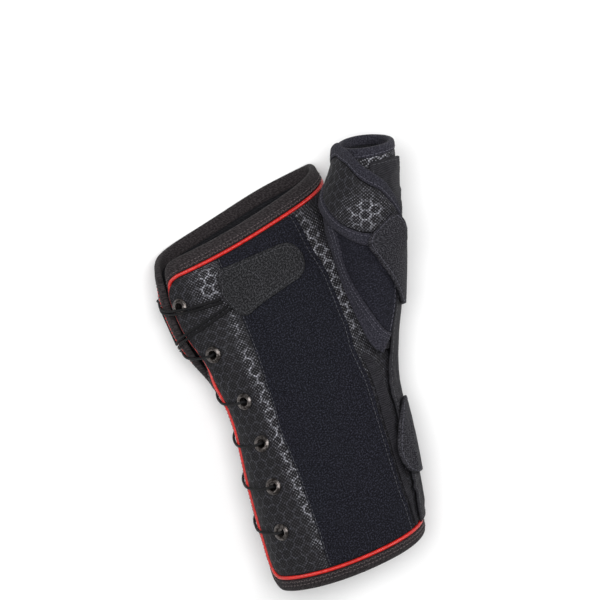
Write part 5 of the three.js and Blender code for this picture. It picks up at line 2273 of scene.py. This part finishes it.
@dataclass
class ThumbStrap(SubAssembly):
    """The printed strap round the thumb sleeve, bound along both edges."""

    low_seat: float = 0.5
    thickness: float = 2.0
    flare: float = 4.0
    leaves: float = -130.0
    stands: float = -98.0
    lands: float = -25.0
    top_seat: float = 0.7
    top_angles: tuple[float, float] = (-60.0, 0.0)
    top_shares: tuple[float, float] = (0.55, 0.97)
    fold: SewnFold = SewnFold()

    @property
    def high_seat(self) -> float:
        """How far out the strap lies over the flap."""
        return self.low_seat + self.thickness + self.lines.trim.rise + 2 * self.lines.trim.gap

    def surface(self, angle: Array, share: Array, out: Array) -> Array:
        """On the sleeve at the back, away from it in the web and on the flap in front.

        Args:
            angle: Degrees round it, from the palm side.
            share: Shares along it.
            out: Millimetres out.

        Returns:
            The points.
        """
        leaving, landing = smooth(angle, self.leaves, self.stands), smooth(angle, self.stands, self.lands)
        seat = lerp(self.low_seat, self.high_seat, leaving) + self.flare * leaving * (1 - landing)
        close = (1 - smooth(angle, *self.top_angles)) * smooth(share, *self.top_shares)
        seat = lerp(seat, self.top_seat, close)
        return self.forms.ball(share * self.forms.thumb.length, angle, out + seat)

    def edges(self, angle: Array) -> dict[str, Line]:
        """The lower and upper edges of the two tapes and the print between them.

        Args:
            angle: Degrees round it, from the palm side.

        Returns:
            Each band's two edges.
        """
        trim, length = self.lines.trim, self.forms.thumb.length
        low, high = read_table(STRAP_EDGES, angle)
        tape, gap = trim.strap_binding / length, trim.gap / length
        top = np.maximum(high - tape, low + tape + 5 * gap)
        return {"lower": (low, low + tape), "middle": (low + tape + gap, top - gap), "upper": (top, high)}

    def band(self, name: str, part: str, columns: Array, rise: float, maker: ClothMaker) -> Cloth:
        """Builds one of the strap's bands.

        Args:
            name: The piece's name.
            part: Which of the edges it lies between.
            columns: Shares across it.
            rise: How much thicker it is than the cloth.
            maker: What makes it, with its rounding and relief.

        Returns:
            The band.
        """

        def surface(angle: Array, t: Array, out: Array) -> Array:
            """The strap between the band's edges.

            Args:
                angle: Degrees round it, from the palm side.
                t: Shares across it.
                out: Millimetres out.

            Returns:
                The points.
            """
            low, high = self.edges(angle)[part]
            return self.surface(angle, lerp(low, high, t), out)

        angles = lerp(STRAP_EDGES[0][0], STRAP_EDGES[-1][0], graded(115, 0.9))
        return maker.build(name, angles, columns, surface, 0.0, self.thickness + rise)

    def build(self) -> None:
        """Builds the strap, its tapes and its stitches."""
        trim = self.lines.trim

        def soft(u: Array, v: Array, edge: Array, _base: Array) -> Array:
            """A soft unevenness."""
            return (0.12 * value_noise(u, v, 6, 41) + 0.2 * value_noise(u, v, 15, 42)) * smooth(edge, 1, 4)

        def sewn_high(u: Array, v: Array, _edge: Array, _base: Array) -> Array:
            """The sewn fold at the upper edge of the lower tape."""
            return self.fold.relief(np.abs(u - u[:, -1:]), v, value_noise(u, v, 4, 43))

        def sewn_low(u: Array, v: Array, _edge: Array, _base: Array) -> Array:
            """The sewn fold at the lower edge of the upper tape."""
            return self.fold.relief(np.abs(u - u[:, :1]), v, value_noise(u, v, 4, 43))

        middle = self.band("thumb_strap_cloth", "middle", graded(26, 0.8), 0.0,
                           ClothMaker(Rounding(0.9, 0.9, 0.5, 0.5), relief=soft))
        dress(middle.thing, [self.finishes.strap, self.finishes.lining], ["thumb_strap"])
        tape = graded(6.5, 0.6, TAPE_LEAD)
        lower = self.band("thumb_strap_lower_tape", "lower", tape, trim.rise,
                          ClothMaker(Rounding(0.9, 0.9, 1.4, 0.6), relief=sewn_high))
        upper = self.band("thumb_strap_upper_tape", "upper", tape, trim.rise,
                          ClothMaker(Rounding(0.9, 0.9, 0.6, 1.4), relief=sewn_low))
        for cloth, node in ((lower, "thumb_strap_lower_binding"), (upper, "thumb_strap_upper_binding")):
            dress(cloth.thing, [self.finishes.thumb] * 2, [node])
        stitch = Stitch(2.2, 1.7, 0.0, 0.34, 0.12)
        runs = [(stitch, lower.seam(Border.LAST, self.fold.row)),
                (stitch, upper.seam(Border.FIRST, self.fold.row))]
        dress(sew("thumb_strap_stitches", runs), [self.finishes.grey])
        declare_sheet(middle, ["thumb_sleeve_cloth", "thenar_flap_cloth"])


@dataclass
class HookTabs(SubAssembly):
    """The three hook tabs: on the thumb strap, on the stay cover and at the lace's ends."""

    thickness: float = 1.8
    thumb_seat: float = 6.9
    cover_seat: float = 3.4
    forearm_seat: float = 3.1
    pull_seat: float = 2.3
    strap_shares: tuple[float, float] = (0.492, 0.552)
    strap_angles: tuple[float, float] = (52.0, 78.0)
    seam: float = 2.0
    # The curved seam across the pull tab, as places in plan.
    lens: tuple[tuple[float, float], ...] = ((-12.4, 79.3), (-8.6, 75.0), (-7.2, 70.8), (-8.4, 66.6),
                                             (-11.5, 63.8))

    def relief(self, u: Array, v: Array, edge: Array, _base: Array) -> Array:
        """A soft unevenness and the dent of the seam."""
        return 0.16 * value_noise(u, v, 9, 51) - 0.26 * hump(edge, self.seam, 0.6)

    def tab(self, node: str, rows: Table, size: tuple[float, float], surface: Surface,
            seat: float) -> Cloth:
        """Builds one tab between the edges of a table.

        Args:
            node: The node that it stands for.
            rows: Its table.
            size: About how long and wide it is, in millimetres.
            surface: Gives points from a share, a place between the edges and a distance out.
            seat: How far out it lies.

        Returns:
            The tab.
        """

        def between(share: Array, t: Array, out: Array) -> Array:
            """The surface between the table's two edges."""
            low, high = read_table(rows, share)
            return surface(share, lerp(low, high, t), out)

        maker = ClothMaker(Rounding(0.8, 0.8, 0.8, 0.8), relief=self.relief)
        shares = lerp(rows[0][0], rows[-1][0], graded(size[0], 0.8))
        columns = graded(size[1], 0.8)
        cloth = maker.build(f"{node}_cloth", shares, columns, between, seat, seat + self.thickness)
        finish = self.finishes.pull if node == "pull_tab" else self.finishes.hook
        dress(cloth.thing, [finish, self.finishes.lining], [node])
        return cloth

    def build(self) -> None:
        """Builds the tabs and their stitches."""
        shell, thumb = self.forms.shell, self.forms.thumb

        def on_palm(across: Array, along: Array, out: Array) -> Array:
            """The palm side in plan, by shares of its width and length."""
            x, y = across * shell.width, along * shell.palm_length
            return np.stack([x, y, shell.palm_height(x, y) + out], axis=-1)

        def on_thumb(share: Array, angle: Array, out: Array) -> Array:
            """The foot of the thumb sleeve, raised where the tab lies on the strap."""
            over_strap = smooth(share, *self.strap_shares) * (1 - smooth(angle, *self.strap_angles))
            raised = out + (self.thumb_seat - self.cover_seat) * over_strap
            return self.forms.ball(share * thumb.length, angle, raised)

        def on_forearm(share: Array, angle: Array, out: Array) -> Array:
            """The shell's lower part."""
            return shell.at(share * shell.lower_length, angle, out)

        tabs = {
            "thumb_tab": (THUMB_TAB, (48, 38), on_thumb, self.cover_seat,
                          ["thumb_strap_cloth", "radial_stay_cover_cloth"]),
            "forearm_tab": (FOREARM_TAB, (40, 30), on_forearm, self.forearm_seat,
                            ["radial_stay_cover_cloth"]),
            "pull_tab": (PULL_TAB, (46, 22), on_palm, self.pull_seat, ["palmar_loop_panel_cloth"]),
        }
        for node, (rows, size, surface, seat, under) in tabs.items():
            cloth = self.tab(node, rows, size, surface, seat)
            runs = [(Stitch(2.2, 1.75, 0.0, 0.32), path) for path in cloth.rim(self.seam)]
            if node == "pull_tab":
                x, y = spline(np.array(self.lens), 1.0).T
                top = np.full(x.shape, seat + self.thickness)
                line = on_palm(x / shell.width, y / shell.palm_length, top)
                up = np.tile([0.0, 0.0, 1.0], (len(line), 1))
                runs.append((Stitch(2.0, 1.6, 0.0, 0.32), Path(line, up)))
            stitches = sew(f"{node}_stitches", runs)
            dress(stitches, [self.finishes.grey if node != "pull_tab" else self.finishes.black])
            declare_sheet(cloth, under)


@dataclass
class Seat:
    """Where an eyelet sits: its name, half of the sleeve, middle on the cloth and direction out of it."""

    name: str
    side: Side
    middle: Array
    out: Array


@dataclass
class Eyelets:
    """The twelve eyelets down the two laced edges."""

    forms: Forms
    dorsal_step: float = 0.02
    hole: float = 2.1
    flange: float = 4.5
    barrel: float = 2.7
    depth: float = 3.2
    top: float = 1.3
    sides: int = 40

    def seats(self) -> list[Seat]:
        """Works out all the seats.

        Returns:
            The seats, from the upper end down.
        """
        seats = []
        form = ShellForm()
        for row, (share, palmar, dorsal) in enumerate(EYELETS):
            places = ((Side.PALMAR, share, palmar), (Side.DORSAL, share + self.dorsal_step, dorsal))
            for side, at, angle in places:
                middle = form.sleeve(at, angle, 0.0)
                round_ = form.sleeve(at, angle + 2, 0.0) - form.sleeve(at, angle - 2, 0.0)
                along = form.sleeve(at + 0.01, angle, 0.0) - form.sleeve(at - 0.01, angle, 0.0)
                out = unit(np.cross(round_, along))
                seats.append(Seat(f"{side.name.lower()}_eyelet_{row + 1}", side, middle, out))
        return seats

    def model(self) -> Thing:
        """Models one eyelet about the origin: a barrel and a flange rolled over the cloth.

        Returns:
            The eyelet.
        """
        bpy.ops.object.select_all(action="DESELECT")
        bpy.ops.mesh.primitive_circle_add(vertices=self.sides, radius=self.hole * MM, fill_type="NOTHING",
                                          location=(0, 0, -self.depth * MM))
        thing = bpy.context.object
        bpy.ops.object.mode_set(mode="EDIT")
        bpy.ops.mesh.select_all(action="SELECT")
        profile = (
            # radius, height
            (self.hole, 0.55),
            (self.hole + 0.08, 0.95),
            (self.hole + 0.3, self.top - 0.08),
            (self.hole + 0.62, self.top),
            (self.hole + 1.0, self.top - 0.12),
            (self.flange - 0.3, 0.72),
            (self.flange, 0.36),
            (self.flange - 0.02, 0.16),
            (self.flange - 0.25, 0.08),
            (self.barrel, 0.06),
            (self.barrel, -self.depth),
            (self.hole, -self.depth),
        )
        radius, height = self.hole, -self.depth
        for next_radius, next_height in profile:
            bpy.ops.mesh.extrude_region_move(
                TRANSFORM_OT_translate={"value": (0, 0, (next_height - height) * MM)})
            share = next_radius / radius
            bpy.ops.transform.resize(value=(share, share, 1), center_override=(0, 0, next_height * MM))
            radius, height = next_radius, next_height
        bpy.ops.mesh.select_all(action="SELECT")
        bpy.ops.mesh.remove_doubles(threshold=0.01 * MM)
        bpy.ops.mesh.normals_make_consistent(inside=False)
        bpy.ops.object.mode_set(mode="OBJECT")
        bpy.ops.object.transform_apply(location=True, rotation=True, scale=True)
        bpy.ops.object.shade_smooth_by_angle(angle=math.radians(50))
        return thing

    def build(self, finishes: Finishes) -> None:
        """Copies the eyelet to its twelve seats.

        Args:
            finishes: The splint's finishes.
        """
        model = self.model()
        for seat in self.seats():
            mesh = model.data.copy()
            turn = Vector((0, 0, 1)).rotation_difference(Vector(seat.out)).to_matrix().to_4x4()
            mesh.transform(Matrix.Translation(Vector(seat.middle * MM)) @ turn)
            thing = bpy.data.objects.new(f"{seat.name}_metal", mesh)
            bpy.context.scene.collection.objects.link(thing)
            dress(thing, [finishes.metal], [seat.name])
        bpy.data.objects.remove(model)


@dataclass
class Laces:
    """The black lace through the eyelets and the strands up to the pull tab."""

    forms: Forms
    eyelets: Eyelets
    finishes: Finishes
    diameter: float = 1.4
    out: float = 1.5
    mouth: float = 2.2
    inside: float = -5.0
    step_away: float = 6.0
    turns: tuple[float, float] = (3.0, 5.0)

    def across(self, start: Sequence[float], end: Sequence[float], count: int) -> Array:
        """Lace across the laced opening, outside the cloth, between two places on the sleeve."""
        t = np.linspace(0, 1, count + 1)
        return self.forms.shell.sleeve(lerp(start[0], end[0], t), lerp(start[1], end[1], t), self.out)

    def through(self, row: int, side: Side) -> Array:
        """Lace down through an eyelet, from its mouth to the inside of the cloth."""
        seat = self.eyelets.seats()[row * 2 + (side is Side.DORSAL)]
        return seat.middle + seat.out * np.array([[self.mouth], [self.inside]])

    def place(self, row: int, side: Side) -> tuple[float, float]:
        """An eyelet's place on the sleeve, with dorsal angles counted below zero."""
        share, palmar, dorsal = EYELETS[row]
        return (share, palmar) if side is Side.PALMAR else (share + self.eyelets.dorsal_step, dorsal - 360)

    def away(self, start: Sequence[float], end: Sequence[float]) -> tuple[float, float]:
        """A place a few degrees away from an eyelet, towards another place."""
        return (start[0], start[1] + math.copysign(self.step_away, end[1] - start[1]))

    def main(self) -> Array:
        """The lace that starts under the pull tab and runs down all the eyelets.

        Returns:
            The points that it runs through.
        """
        first = self.place(0, Side.DORSAL)
        parts = [self.across(LACE_STARTS[0], self.away(first, LACE_STARTS[0]), 7)]
        near, far = Side.DORSAL, Side.PALMAR
        for row in range(1, len(EYELETS)):
            a, b = self.place(row, near), self.place(row, far)
            parts += [self.through(row - 1, near), self.through(row, near)[::-1]]
            parts.append(self.across(self.away(a, b), self.away(b, a), 4))
            near, far = far, near
        parts.append(self.through(len(EYELETS) - 1, near))
        return np.concatenate(parts)

    def loop(self) -> Array:
        """The hairpin of lace behind the dorsal edge that makes the second and third strands.

        Returns:
            The points that it runs through.
        """
        sleeve, turns = self.forms.shell.sleeve, np.array(self.turns)
        tucks = [sleeve(share, angle - turns, self.out) for share, angle in LACE_TUCKS]
        return np.concatenate([self.across(LACE_STARTS[1], LACE_TUCKS[0], 7), tucks[0], tucks[1][::-1],
                               self.across(LACE_TUCKS[1], LACE_STARTS[2], 7)])

    def braid(self, rim: Array, length: Array) -> Array:
        """The braid's relief."""
        return 0.05 * np.cos(2 * rim / (self.diameter / 2)) * np.cos(2 * np.pi * length / 1.5)

    def build(self) -> None:
        """Builds the three laces."""
        end = self.across(LACE_STARTS[3], LACE_TUCKS[2], 8)
        for name, points in (("main_lace", self.main()), ("loop_lace", self.loop()), ("end_lace", end)):
            line = spline(points, 0.45)
            LOG.info("%s: %.0f mm long", name, arc_length(line)[-1])
            cord = tube(f"{name}_cord", line, self.diameter / 2, 10, self.braid)
            dress(cord, [self.finishes.lace], [name])


@dataclass
class Studio:
    """The floor, the lights and the camera."""

    middle: tuple[float, float] = (0.0093, 0.0569)
    turn: float = -16.0
    lens: float = 170.0
    view_width: float = 0.312
    focus_height: float = 0.045
    aim: tuple[float, float, float] = (0.01, 0.03, 0.03)

    def floor(self) -> None:
        """Lays a plain pale floor."""
        bpy.ops.object.select_all(action="DESELECT")
        bpy.ops.mesh.primitive_plane_add(size=6, location=(0, 0, 0))
        plane = bpy.context.object
        plane.name = "studio_floor"
        plane.data.materials.append(PaleFloor().build())

    def light(self, name: str, place: tuple[float, float, float], size: tuple[float, float],
              watts: float) -> None:
        """Adds a soft box that faces the splint.

        Args:
            name: Its name.
            place: Where it stands, in metres.
            size: Its width and height.
            watts: Its strength.
        """
        data = bpy.data.lights.new(name, "AREA")
        data.shape, data.size, data.size_y, data.energy = "RECTANGLE", size[0], size[1], watts
        thing = bpy.data.objects.new(name, data)
        thing.location = place
        aim = Vector(self.aim) - Vector(place)
        thing.rotation_euler = aim.to_track_quat("-Z", "Y").to_euler()
        bpy.context.scene.collection.objects.link(thing)

    def camera(self) -> None:
        """Sets the camera straight above."""
        data = bpy.data.cameras.new("camera")
        data.lens, data.sensor_width = self.lens, 36.0
        thing = bpy.data.objects.new("camera", data)
        height = self.focus_height + self.view_width * self.lens / data.sensor_width
        thing.location = (*self.middle, height)
        thing.rotation_euler = (0.0, 0.0, math.radians(self.turn))
        bpy.context.scene.collection.objects.link(thing)
        bpy.context.scene.camera = thing

    def build(self) -> None:
        """Builds it all."""
        self.floor()
        self.light("key_softbox", (0.03, 0.14, 1.62), (1.0, 0.7), 23.0)
        self.light("left_fill", (-0.9, -0.1, 0.75), (0.6, 0.6), 2.5)
        self.light("right_fill", (0.95, 0.35, 0.6), (0.45, 0.45), 4.0)
        world = bpy.data.worlds.new("studio")
        world.use_nodes = True
        world.node_tree.nodes["Background"].inputs[0].default_value = (1.0, 1.0, 1.0, 1.0)
        world.node_tree.nodes["Background"].inputs[1].default_value = 0.2
        bpy.context.scene.world = world
        bpy.context.scene.view_settings.view_transform = "Standard"
        self.camera()


def main() -> None:
    """Builds the splint and the studio."""
    logging.basicConfig(level=logging.INFO, format="%(name)s: %(message)s")
    studio = Studio()
    studio.build()
    forms, lines, finishes = Forms(), SleeveLines(), Finishes()
    eyelets = Eyelets(forms)
    panels = SleevePanels(forms, lines, finishes, eyelets)
    post = ThumbPost(forms, lines, finishes)
    panels.settle()
    post.settle()
    panels.build()
    PalmPatches(forms, lines, finishes).build()
    post.build()
    StayCover(forms, lines, finishes).build()
    ThenarFlap(forms, lines, finishes).build()
    ThumbStrap(forms, lines, finishes).build()
    HookTabs(forms, lines, finishes).build()
    eyelets.build(finishes)
    Laces(forms, eyelets, finishes).build()


if __name__ == "__main__":
    main()
